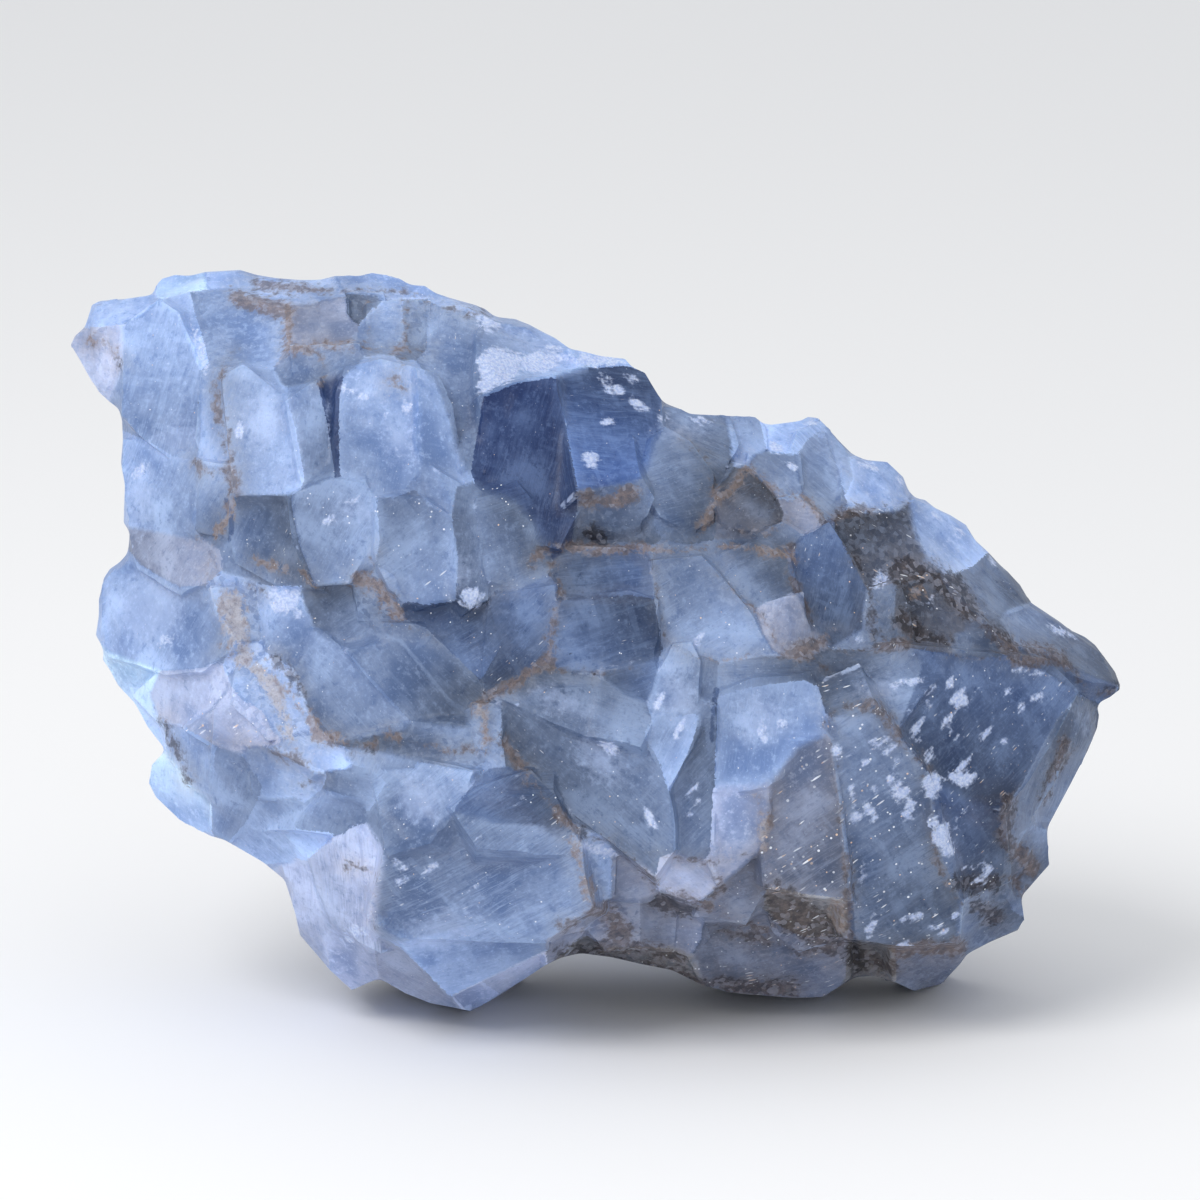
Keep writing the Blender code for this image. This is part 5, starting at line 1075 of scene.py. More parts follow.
def block_value(block, p, wave, wear, lumps, ahead, behind):
    """Distance from points, already bent, to a block: below 0 inside."""
    first = np.full(len(p), -1e9)
    second = np.full(len(p), -1e9)
    for k, (normal, offset) in enumerate(zip(block.normals, block.offsets)):
        m = p @ normal - offset
        if k == 0:
            m = m + wave * 1.2
            if block.step_rise:
                u = (p @ block.step_way) / block.step_run + wave * 2200 * 0.35
                u = u - np.floor(u)
                m = m + block.step_rise * np.minimum(u, (1 - u) * 7.0)
        elif k < len(block.offsets) - 1:
            m = m - wave
        second = np.maximum(second, np.minimum(first, m))
        first = np.maximum(first, m)
    chip = 0.00002 + 0.0016 * np.maximum(wear - 0.20, 0.0)
    value = np.maximum(first, (first + second) * 0.7071 + chip)
    if block.grain:
        value = value + lumps * (0.00045 * block.grain)
    if block.kind == "front":
        return np.maximum(value, behind + 0.0010)
    return np.maximum(value, np.maximum(ahead + 0.0004, behind - 0.0082))


def bent(p):
    return p + np.stack([ripples_at(b, p) for b in BEND], axis=1)


def groups(ids):
    order = np.argsort(ids, kind="stable")
    cuts = np.flatnonzero(np.diff(ids[order])) + 1
    for part in np.split(order, cuts):
        if len(part):
            yield int(ids[part[0]]), part


def values_of(ids, p, q, wave, wear, lumps, x, y, w):
    out = np.full(len(p), 1.0)
    for index, part in groups(ids):
        if index == ROCK:
            out[part] = rock_value(p[part], lumps[part], x[part], y[part], w[part])
        else:
            out[part] = block_value(BLOCKS[index], q[part], wave[part], wear[part], lumps[part],
                                    w[part] - fine_sample(FILL, x[part], y[part]), -w[part] - fine_sample(BEHIND, x[part], y[part]))
    return out


def surface_value(p, one, two):
    """The field at points, with the two blocks that can be nearest to each known."""
    q = bent(p)
    wave, wear, lumps = ripples_at(WAVE, p), ripples_at(WEAR, p), ripples_at(LUMPS, p)
    x, y, w, shrink = on_drawing(p)
    value = values_of(one, p, q, wave, wear, lumps, x, y, w)
    other = one != two
    if other.any():
        s = np.flatnonzero(other)
        value[s] = np.minimum(value[s], values_of(two[s], p[s], q[s], wave[s], wear[s], lumps[s], x[s], y[s], w[s]))
    return trimmed(value, p, x, y, shrink)


def field_on_grid():
    counts = np.ceil((HIGH - LOW) / GRID).astype(int)
    axes = [LOW[k] + GRID * np.arange(counts[k]) for k in range(3)]
    shape = tuple(counts)
    bend = [ripples_on_grid(b, axes) for b in BEND]
    wave, wear, lumps = (ripples_on_grid(r, axes) for r in (WAVE, WEAR, LUMPS))
    value = np.empty(shape, np.float32)
    trim = np.empty(shape, np.float32)
    ahead = np.empty(shape, np.float32)
    behind = np.empty(shape, np.float32)
    for a in range(0, shape[0], 16):
        b = min(a + 16, shape[0])
        p = np.stack(np.meshgrid(axes[0][a:b], axes[1], axes[2], indexing="ij"), axis=-1).reshape(-1, 3)
        x, y, w, shrink = on_drawing(p)
        value[a:b] = rock_value(p, lumps[a:b].reshape(-1), x, y, w).reshape(b - a, *shape[1:])
        trim[a:b] = trimmed(np.full(len(p), -1.0), p, x, y, shrink).reshape(b - a, *shape[1:])
        ahead[a:b] = (w - fine_sample(FILL, x, y)).reshape(b - a, *shape[1:])
        behind[a:b] = (-w - fine_sample(BEHIND, x, y)).reshape(b - a, *shape[1:])
    winner = np.full(shape, ROCK, np.int16)
    second = np.full(shape, 0.004, np.float32)
    margin = 0.0025
    for index, block in enumerate(BLOCKS):
        start = np.clip(np.floor((block.low - margin - LOW) / GRID).astype(int), 0, counts)
        stop = np.clip(np.ceil((block.high + margin - LOW) / GRID).astype(int) + 1, 0, counts)
        cut = tuple(slice(s, t) for s, t in zip(start, stop))
        near = (trim[cut] < 0.003).reshape(-1)
        if not near.any():
            continue
        p = np.stack(np.meshgrid(*(axes[k][cut[k]] for k in range(3)), indexing="ij"), axis=-1).reshape(-1, 3)[near]
        q = p + np.stack([b[cut].reshape(-1)[near] for b in bend], axis=1)
        v = block_value(block, q, *(f[cut].reshape(-1)[near] for f in (wave, wear, lumps, ahead, behind)))
        v = v.astype(np.float32)
        old, old_second, old_winner = value[cut].reshape(-1), second[cut].reshape(-1), winner[cut].reshape(-1)
        was = old[near]
        old_second[near] = np.minimum(np.maximum(was, v), old_second[near])
        old_winner[near] = np.where(v < was, index, old_winner[near])
        old[near] = np.minimum(was, v)
        box = value[cut].shape
        value[cut], second[cut], winner[cut] = old.reshape(box), old_second.reshape(box), old_winner.reshape(box)
    return axes, value, np.maximum(value, trim), second, winner


def on_axes(grid, axes, p):
    """The grid's values at points, blended between its corners."""
    t = (p - LOW) / GRID
    i = np.clip(np.floor(t).astype(np.int32), 0, np.array(grid.shape) - 2)
    f = t - i
    out = 0.0
    for a in (0, 1):
        for b in (0, 1):
            for c in (0, 1):
                weight = ((f[:, 0] if a else 1 - f[:, 0]) * (f[:, 1] if b else 1 - f[:, 1]) * (f[:, 2] if c else 1 - f[:, 2]))
                out = out + grid[i[:, 0] + a, i[:, 1] + b, i[:, 2] + c] * weight
    return out


def skin(axes, field, winner):
    """The surface where the field is 0, with a point in each cell placed on the corner or edge that its planes make."""
    inside = field < 0
    shape = np.array(field.shape)
    starts, ends, ways, flips, ids_a, ids_b, v_a, v_b = [], [], [], [], [], [], [], []
    for k in range(3):
        low = [slice(None)] * 3
        high = [slice(None)] * 3
        low[k], high[k] = slice(0, -1), slice(1, None)
        crossing = np.argwhere(inside[tuple(low)] != inside[tuple(high)])
        keep = np.ones(len(crossing), bool)
        for other in range(3):
            if other != k:
                keep &= (crossing[:, other] > 0) & (crossing[:, other] < shape[other] - 1)
        crossing = crossing[keep]
        beyond = crossing.copy()
        beyond[:, k] += 1
        starts.append(crossing)
        ends.append(beyond)
        ways.append(np.full(len(crossing), k))
        flips.append(inside[tuple(crossing.T)])
        ids_a.append(winner[tuple(crossing.T)])
        ids_b.append(winner[tuple(beyond.T)])
        v_a.append(field[tuple(crossing.T)])
        v_b.append(field[tuple(beyond.T)])
    starts, ends, ways, flips = map(np.concatenate, (starts, ends, ways, flips))
    ids_a, ids_b, v_a, v_b = map(np.concatenate, (ids_a, ids_b, v_a, v_b))
    pa, pb = LOW + GRID * starts, LOW + GRID * ends
    v_a, v_b = v_a.astype(float), v_b.astype(float)
    ids_a, ids_b = ids_a.astype(int), ids_b.astype(int)
    for _ in range(3):
        t = np.clip(v_a / (v_a - v_b), 0.03, 0.97)
        p = pa + (pb - pa) * t[:, None]
        v = surface_value(p, ids_a, ids_b)
        same = (v < 0) == (v_a < 0)
        pa = np.where(same[:, None], p, pa)
        v_a = np.where(same, v, v_a)
        pb = np.where(same[:, None], pb, p)
        v_b = np.where(same, v_b, v)
    t = np.clip(v_a / (v_a - v_b), 0, 1)
    p = pa + (pb - pa) * t[:, None]
    small = 0.00004
    normal = np.stack([
        surface_value(p + small * np.eye(3)[k], ids_a, ids_b) - surface_value(p - small * np.eye(3)[k], ids_a, ids_b)
        for k in range(3)], axis=1)
    normal /= np.linalg.norm(normal, axis=1)[:, None] + 1e-12

    # the four cells round each crossing edge
    cells = np.empty((len(p), 4), np.int64)
    for k in range(3):
        u, v = (k + 1) % 3, (k + 2) % 3
        rows = np.flatnonzero(ways == k)
        for n, (du, dv) in enumerate(((-1, -1), (0, -1), (0, 0), (-1, 0))):
            c = starts[rows].copy()
            c[:, u] += du
            c[:, v] += dv
            cells[rows, n] = (c[:, 0] * shape[1] + c[:, 1]) * shape[2] + c[:, 2]
    used, cell = np.unique(cells, return_inverse=True)
    cell = cell.reshape(cells.shape)
    n_cells = len(used)
    flat = cell.reshape(-1)

    def total(values):
        return np.bincount(flat, np.repeat(values, 4), n_cells)

    count = np.bincount(flat, minlength=n_cells).astype(float)
    mass = np.stack([total(p[:, k]) for k in range(3)], axis=1) / count[:, None]
    matrix = np.empty((n_cells, 3, 3))
    for i in range(3):
        for j in range(i, 3):
            matrix[:, i, j] = matrix[:, j, i] = total(normal[:, i] * normal[:, j])
    d = (normal * p).sum(axis=1)
    right = np.stack([total(normal[:, k] * d) for k in range(3)], axis=1)
    right -= np.einsum("nij,nj->ni", matrix, mass)
    matrix += 0.06 * np.eye(3)
    spot = mass + np.linalg.solve(matrix, right[..., None])[..., 0]
    corner = np.stack(np.unravel_index(used, tuple(shape)), axis=1) * GRID + LOW
    spot = np.clip(spot, corner - 0.1 * GRID, corner + 1.1 * GRID)
    quads = np.where(flips[:, None], cell, cell[:, ::-1])
    return spot, quads


def largest_part(spots, quads):
    """Drops every loose or enclosed scrap of skin."""
    link = np.arange(len(spots))
    a = quads[:, [0, 1, 2]].reshape(-1)
    b = quads[:, [1, 2, 3]].reshape(-1)
    while True:
        la, lb = link[a], link[b]
        least = np.minimum(la, lb)
        new = link.copy()
        np.minimum.at(new, la, least)
        np.minimum.at(new, lb, least)
        new = new[new]
        new = new[new]
        if (new == link).all():
            break
        link = new
    names, sizes = np.unique(link[quads[:, 0]], return_counts=True)
    quads = quads[link[quads[:, 0]] == names[np.argmax(sizes)]]
    kept, quads = np.unique(quads, return_inverse=True)
    return spots[kept], quads.reshape(-1, 4)


def mesh_of(name, spots, polygons):
    mesh = bpy.data.meshes.new(name)
    sides = polygons.shape[1]
    mesh.vertices.add(len(spots))
    mesh.vertices.foreach_set("co", spots.astype(np.float32).ravel())
    mesh.loops.add(polygons.size)
    mesh.loops.foreach_set("vertex_index", polygons.astype(np.int32).ravel())
    mesh.polygons.add(len(polygons))
    mesh.polygons.foreach_set("loop_start", np.arange(0, polygons.size, sides, dtype=np.int32))
    mesh.update(calc_edges=True)
    mesh.validate()
    return mesh


def thinned(spots, quads):
    """The skin with fewer triangles: flat stretches and the hidden side lose the most."""
    mesh = mesh_of("skin", spots * 1000.0, quads)
    shape = bpy.data.objects.new("skin", mesh)
    bpy.context.scene.collection.objects.link(shape)
    total = 2 * len(quads)
    x, y, w, _ = on_drawing(spots)
    front = np.clip((w + 0.001) / 0.004, 0, 1)
    group = shape.vertex_groups.new(name="free")
    level = np.round((1.0 - 0.35 * front) * 8).astype(int)
    for step in np.unique(level):
        group.add(np.flatnonzero(level == step).tolist(), step / 8, "REPLACE")
    thin = shape.modifiers.new("thin", "DECIMATE")
    thin.ratio = min(1.0, FACES / total)
    thin.vertex_group = "free"
    thin.vertex_group_factor = 0.012
    thin.use_collapse_triangulate = True
    done = bpy.data.meshes.new_from_object(shape.evaluated_get(bpy.context.evaluated_depsgraph_get()))
    bpy.data.objects.remove(shape)
    points = np.empty(len(done.vertices) * 3, np.float32)
    done.vertices.foreach_get("co", points)
    done.vertices.foreach_set("co", points * np.float32(0.001))
    return done


def filleted(spots, quads, axes, field):
    """Rounds the hollow creases between blocks, where they have grown together, and leaves the standing edges sharp."""
    a = quads.reshape(-1)
    b = np.roll(quads, -1, axis=1).reshape(-1)
    n = len(spots)
    count = np.bincount(a, minlength=n) + np.bincount(b, minlength=n)
    grown = ripples_at([(Ripple(0.014, 51), 1.0)], spots)
    for step in range(7):
        side = np.cross(spots[quads[:, 2]] - spots[quads[:, 0]], spots[quads[:, 3]] - spots[quads[:, 1]])
        normal = np.zeros((n, 3))
        for k in range(3):
            for corner in range(4):
                normal[:, k] += np.bincount(quads[:, corner], side[:, k], n)
        normal /= np.linalg.norm(normal, axis=1)[:, None] + 1e-12
        mean = np.stack([(np.bincount(a, spots[b, k], n) + np.bincount(b, spots[a, k], n)) / count for k in range(3)], axis=1)
        move = mean - spots
        rise = (move * normal).sum(axis=1)
        weight = np.clip(rise / (0.05 * GRID), 0, 1) * np.clip(0.75 + grown, 0.25, 1.0)
        spots = spots + move * (0.55 * weight)[:, None]
    return spots


# ---------------------------------------------------------------- tones
def tone_of(code):
    tint = np.array(FAMILIES[code[0]])
    level = (60 + 20 * float(code[1:])) / 255
    value = np.clip(tint * level, 0, 1)
    return DEPTH * np.where(value <= 0.04045, value / 12.92, ((value + 0.055) / 1.055) ** 2.4)


def way_on_drawing(degrees):
    a = math.radians(degrees)
    return math.cos(a) * RIGHT + math.sin(a) * UP


def dress_blocks():
    """Gives every block its two tones, the way between them, and its striations and painted glints."""
    rng = np.random.default_rng(SEED + 9)
    for block in BLOCKS:
        random_way = float(rng.uniform(0, 180))
        if block.kind == "front":
            dark, light = TONES[TONE_OF[block.name]].split()
            way = random_way * 2
            block.tones = tone_of(dark), tone_of(light)
            block.tone_way = way_on_drawing(float(way))
            block.stripe, turn = STRIPES.get(block.name, (0.3, random_way))
            block.glint = GLINTS.get(block.name, 0.25)
        else:
            level = 4.0 + 1.5 * float(ripples_at([(Ripple(0.026, 81), 1.0)], block.middle[None])[0]) + rng.uniform(-0.9, 0.9)
            family = str(rng.choice(list("bbbbbggm")))
            if block.kind == "foot" or block.name.startswith("root"):
                level, family = 2.8 + 0.5 * level / 4, str(rng.choice(list("ggo")))
            gap = rng.uniform(0.8, 2.2)
            block.tones = tone_of(f"{family}{level - gap / 2:.2f}"), tone_of(f"{family}{level + gap / 2:.2f}")
            block.tone_way = way_on_drawing(random_way * 2)
            block.stripe, turn = float(rng.uniform(0.2, 0.85)), random_way
            block.glint = float(rng.uniform(0.2, 0.8))
        along = way_on_drawing(turn)
        along = along - block.normal * (along @ block.normal)
        if np.linalg.norm(along) < 0.2:
            along = np.cross(block.normal, RIGHT)
        block.along = along / np.linalg.norm(along)
        block.across = np.cross(block.normal, block.along)
        # striations on the sides run along the layers that the face is one of
        block.side_across = block.normal


dress_blocks()


def ring_distance(block, x, y):
    return ring_gap(block.ring, x, y)


def drawn_on(x, y):
    """The block drawn at each point, or else the nearest one, and the next nearest."""
    first, second = np.full(len(x), 1e3), np.full(len(x), 1e3)
    one, two = np.zeros(len(x), int), np.zeros(len(x), int)
    for index, block in enumerate(BLOCKS):
        if block.kind != "front":
            continue
        (x0, y0), (x1, y1) = block.ring.min(axis=0) - 45, block.ring.max(axis=0) + 45
        near = np.flatnonzero((x > x0) & (x < x1) & (y > y0) & (y < y1))
        if not len(near):
            continue
        d = ring_distance(block, x[near], y[near])
        better = d < first[near]
        f, o = first[near], one[near]
        later = ~better & (d < second[near])
        second[near] = np.where(better, f, np.where(later, d, second[near]))
        two[near] = np.where(better, o, np.where(later, index, two[near]))
        first[near] = np.where(better, d, f)
        one[near] = np.where(better, index, o)
    return one, two


def block_tone(block, p):
    """The block's tone at points in space: dark at one side, light at the other."""
    away = (p - block.middle) @ block.tone_way / (block.reach * 0.9)
    t = np.clip(away * 0.5 + 0.5, 0, 1)
    t = (t * t * (3 - 2 * t))[..., None]
    return block.tones[0] * (1 - t) + block.tones[1] * t


def blob_distance(x, y, blobs):
    """Distance in drawing units, below 0 inside, to the nearest of some ovals."""
    best = np.full(len(x), 60.0)
    for cx, cy, rx, ry, way in blobs:
        near = (np.abs(x - cx) < rx + ry + 40) & (np.abs(y - cy) < rx + ry + 40)
        s = np.flatnonzero(near)
        if not len(s):
            continue
        a = math.radians(way)
        dx, dy = x[s] - cx, cy - y[s]
        u = (dx * math.cos(a) + dy * math.sin(a)) / rx
        v = (-dx * math.sin(a) + dy * math.cos(a)) / ry
        r = np.sqrt(u * u + v * v) + 1e-9
        # distance along the ray from the oval's middle, which is true at its rim
        d = np.sqrt(dx * dx + dy * dy) * (1 - 1 / r)
        d = np.where(r < 1, (r - 1) * min(rx, ry), np.minimum(d, (r - 1) * max(rx, ry)))
        best[s] = np.minimum(best[s], d)
    return best


def crack_distance(x, y):
    best = np.full(len(x), 60.0)
    for start, end, line in CRACKS:
        xs, ys = [q[0] for q in line], [q[1] for q in line]
        s = np.flatnonzero((x > min(xs) - 30) & (x < max(xs) + 30) & (y > min(ys) - 30) & (y < max(ys) + 30))
        if not len(s):
            continue
        run = np.hypot(xs[-1] - xs[0], ys[-1] - ys[0])
        t = np.clip(((x[s] - xs[0]) * (xs[-1] - xs[0]) + (y[s] - ys[0]) * (ys[-1] - ys[0])) / run ** 2, 0, 1)
        best[s] = np.minimum(best[s], distance_to_line(x[s], y[s], line) - (start * (1 - t) + end * t) / 2)
    return best


def seam_distance(x, y):
    """Distance to the nearest stained seam's side, and that seam's tone."""
    best = np.full(len(x), 60.0)
    tone = np.full(len(x), 0.5)
    for width, shade, line in SEAMS:
        xs, ys = [q[0] for q in line], [q[1] for q in line]
        near = (x > min(xs) - 40) & (x < max(xs) + 40) & (y > min(ys) - 40) & (y < max(ys) + 40)
        s = np.flatnonzero(near)
        if not len(s):
            continue
        d = distance_to_line(x[s], y[s], line) - width / 2
        nearer = d < best[s]
        best[s] = np.where(nearer, d, best[s])
        tone[s] = np.where(nearer, shade, tone[s])
    return best, tone


def paint(mesh, axes, value, second, winner):
    """Stores on the skin what the material needs: tones, striation directions, stains, bruises, hollows and edges."""
    n = len(mesh.vertices)
    spots = np.empty(n * 3, np.float32)
    mesh.vertices.foreach_get("co", spots)
    spots = spots.reshape(-1, 3).astype(float)
    normals = np.empty(n * 3, np.float32)
    mesh.vertices.foreach_get("normal", normals)
    normals = normals.reshape(-1, 3).astype(float)
    loops = np.empty(len(mesh.loops), np.int32)
    mesh.loops.foreach_get("vertex_index", loops)
    face_normals = np.empty(len(mesh.polygons) * 3, np.float32)
    mesh.polygons.foreach_get("normal", face_normals)
    face_normals = face_normals.reshape(-1, 3).astype(float)
    triangles = loops.reshape(-1, 3)
    middles = spots[triangles].mean(axis=1)

    # which block each triangle lies on
    q = bent(middles)
    wave, wear, lumps = ripples_at(WAVE, middles), ripples_at(WEAR, middles), ripples_at(LUMPS, middles)
    x, y, w, shrink = on_drawing(middles)
    cell = np.clip(np.floor((middles - LOW) / GRID).astype(int), 0, np.array(winner.shape) - 2)
    owner = np.full(len(middles), ROCK)
    least = values_of(owner, middles, q, wave, wear, lumps, x, y, w)
    for a in (0, 1):
        for b in (0, 1):
            for c in (0, 1):
                ids = winner[cell[:, 0] + a, cell[:, 1] + b, cell[:, 2] + c].astype(int)
                v = values_of(ids, middles, q, wave, wear, lumps, x, y, w)
                owner = np.where(v < least, ids, owner)
                least = np.minimum(v, least)

    tone = np.empty((len(middles), 3, 4))
    other_tone = np.empty((len(middles), 3, 4))
    border = np.full((len(middles), 3, 3), 9.0)
    coords = np.empty((len(middles), 3, 3))
    kinds = np.empty((len(middles), 3))
    corners = spots[triangles]
    corner_x, corner_y, _, corner_shrink = on_drawing(corners.reshape(-1, 3))
    corner_x, corner_y = corner_x.reshape(-1, 3), corner_y.reshape(-1, 3)
    one, two = drawn_on(x, y)
    shown = (w > fine_sample(FILL, x, y) - 0.0050) & (face_normals @ NEAR > 0.12)
    for index, part in groups(owner):
        if index == ROCK:
            tone[part, :, :3] = tone_of("g4.0")
            # the rock between the blocks counts as lying in the gaps, for the painted shade there
            tone[part, :, 3] = 0.6
            coords[part] = corners[part] * 1000
            kinds[part] = (0.2, 0.5, 0.5)
            continue
        block = BLOCKS[index]
        tone[part, :, :3] = block_tone(block, corners[part])
        # how much a triangle lies on the block's side, which the material darkens as painted shade
        facing = face_normals[part] @ block.normal
        on_side = np.clip((0.80 - facing) / 0.35, 0, 1)
        tone[part, :, 3] = on_side[:, None]
        face_part = part[on_side < 0.5]
        side_part = part[on_side >= 0.5]
        for rows, across in ((face_part, block.across), (side_part, block.side_across)):
            coords[rows, :, 0] = corners[rows] @ block.along * 1000
            coords[rows, :, 1] = corners[rows] @ across * 1000
            coords[rows, :, 2] = index * 3.7 + (corners[rows] @ np.cross(block.along, across)) * 120
        kinds[part] = (block.stripe, block.glint, block.grain)
    # behind the outline the drawn crystals run on a little way before the hidden ones take over
    run_on = np.clip((w + 0.013) / 0.013, 0, 1)
    run_on = np.where(shown, 0.0, run_on * run_on * (3 - 2 * run_on))
    turned = np.where(run_on > 0, one, -1)
    for index, part in groups(turned):
        if index >= 0:
            drawn_tone = block_tone(BLOCKS[index], corners[part])
            tone[part, :, :3] += (drawn_tone - tone[part, :, :3]) * run_on[part][:, None, None]
    other_tone[...] = tone
    # on the side that was drawn, each point takes the tone of the block drawn there
    mine = np.where(shown, one, -1)
    for index, part in groups(mine):
        if index < 0:
            continue
        block = BLOCKS[index]
        tone[part, :, :3] = block_tone(block, corners[part])
        border[part, :, 0] = -ring_distance(block, corner_x[part], corner_y[part])
        rocky = part[owner[part] == ROCK]
        kinds[rocky] = (block.stripe * 0.5, max(block.glint, 0.35), max(block.grain, 0.35))
        along, across = block.along * 1000, block.across * 1000
        coords[rocky, :, 0] = corners[rocky] @ along
        coords[rocky, :, 1] = corners[rocky] @ across
        coords[rocky, :, 2] = index * 3.7 + (corners[rocky] @ block.normal) * 120
    theirs = np.where(shown, two, -1)
    for index, part in groups(theirs):
        if index < 0:
            continue
        other_tone[part, :, :3] = block_tone(BLOCKS[index], corners[part])
        border[part, :, 0] = (border[part, :, 0] + ring_distance(BLOCKS[index], corner_x[part], corner_y[part])) / 2
    border[shown, :, 0] *= UNIT * 1000
    # how soft a border is, and whether it is dark or pale, belongs to the pair of blocks
    low_id, high_id = np.minimum(one, two), np.maximum(one, two)
    pair_rng = np.random.default_rng(SEED + 11)
    softness = pair_rng.uniform(0, 1, (len(BLOCKS), len(BLOCKS)))
    accent = pair_rng.uniform(-1, 1, (len(BLOCKS), len(BLOCKS)))
    numbers = {block.name: index for index, block in enumerate(BLOCKS)}
    for (a, b), (soft_by, look) in JOINTS.items():
        i, j = sorted((numbers[a], numbers[b]))
        softness[i, j], accent[i, j] = soft_by, look
    border[:, :, 1] = (0.04 + 0.80 * softness[low_id, high_id] ** 3)[:, None]
    border[:, :, 2] = accent[low_id, high_id][:, None]
    border[~shown, :, 2] = 0.0
    # light and dark clouds bend the striations a little
    drift = ripples_at([(Ripple(0.006, 71), 0.30), (Ripple(0.0025, 72), 0.12)], spots)
    coords[:, :, 1] += drift[triangles]

    layer = mesh.attributes.new("other_tone", "FLOAT_COLOR", "CORNER")
    layer.data.foreach_set("color", other_tone.astype(np.float32).ravel())
    layer = mesh.attributes.new("border", "FLOAT_VECTOR", "CORNER")
    layer.data.foreach_set("vector", border.astype(np.float32).ravel())
    layer = mesh.attributes.new("tone", "FLOAT_COLOR", "CORNER")
    layer.data.foreach_set("color", tone.astype(np.float32).ravel())
    layer = mesh.attributes.new("grain_place", "FLOAT_VECTOR", "CORNER")
    layer.data.foreach_set("vector", coords.astype(np.float32).ravel())
    layer = mesh.attributes.new("kind", "FLOAT_VECTOR", "FACE")
    layer.data.foreach_set("vector", kinds.astype(np.float32).ravel())

    # marks that are drawn on the front, and hollows and edges all over
    x, y, w, shrink = on_drawing(spots)
    in_front = (w > fine_sample(FILL, x, y) - 0.0060) & (normals @ NEAR > 0.02)
    far = 60.0
    bruise = np.where(in_front & (normals @ NEAR > 0.20), blob_distance(x, y, BRUISES), far)
    frost = np.where(in_front, blob_distance(x, y, FROST), far)
    seam, shade = seam_distance(x, y)
    seam = np.where(in_front, seam, far)
    marks = np.stack([bruise * UNIT * 1000, seam * UNIT * 1000, shade], axis=1)
    layer = mesh.attributes.new("marks", "FLOAT_VECTOR", "POINT")
    layer.data.foreach_set("vector", marks.astype(np.float32).ravel())

    crease = on_axes(second, axes, spots) - on_axes(value, axes, spots)
    hollow = 1 - np.clip(on_axes(value, axes, spots + normals * 0.0014) / 0.0014, -1, 1)
    edge = 1 - np.clip(-on_axes(value, axes, spots - normals * 0.0010) / 0.0010, -1, 1)
    relief = np.stack([np.clip(hollow, 0, 1.5), np.clip(edge, 0, 1.5), np.clip(crease * 1000, 0, 4)], axis=1)
    layer = mesh.attributes.new("relief", "FLOAT_VECTOR", "POINT")
    layer.data.foreach_set("vector", relief.astype(np.float32).ravel())
    patches = ripples_at([(Ripple(0.016, 61), 0.7), (Ripple(0.006, 62), 0.3)], spots) * 0.5 + 0.5
    crack = np.where(in_front, crack_distance(x, y), far)
    soft = np.stack([np.clip(-frost * UNIT * 1000, -2, 6), np.clip(crack * UNIT * 1000, -1, 4), patches], axis=1)
    layer = mesh.attributes.new("soft", "FLOAT_VECTOR", "POINT")
    layer.data.foreach_set("vector", soft.astype(np.float32).ravel())
    cloud = ripples_at([(Ripple(0.0075, 63), 0.5), (Ripple(0.0036, 64), 0.33), (Ripple(0.0018, 65), 0.2)], spots) * 0.75 + 0.5
    stripe_patch = ripples_at([(Ripple(0.009, 66), 0.7), (Ripple(0.004, 67), 0.3)], spots) * 0.6 + 0.5
    swarm = ripples_at([(Ripple(0.007, 68), 0.6), (Ripple(0.0028, 69), 0.4)], spots) * 0.7 + 0.5
    haze = np.stack([cloud, stripe_patch, swarm], axis=1)
    layer = mesh.attributes.new("unseen", "FLOAT", "POINT")
    layer.data.foreach_set("value", np.clip(-w / 0.012, 0.0, 1.0).astype(np.float32))
    layer = mesh.attributes.new("haze", "FLOAT_VECTOR", "POINT")
    layer.data.foreach_set("vector", haze.astype(np.float32).ravel())


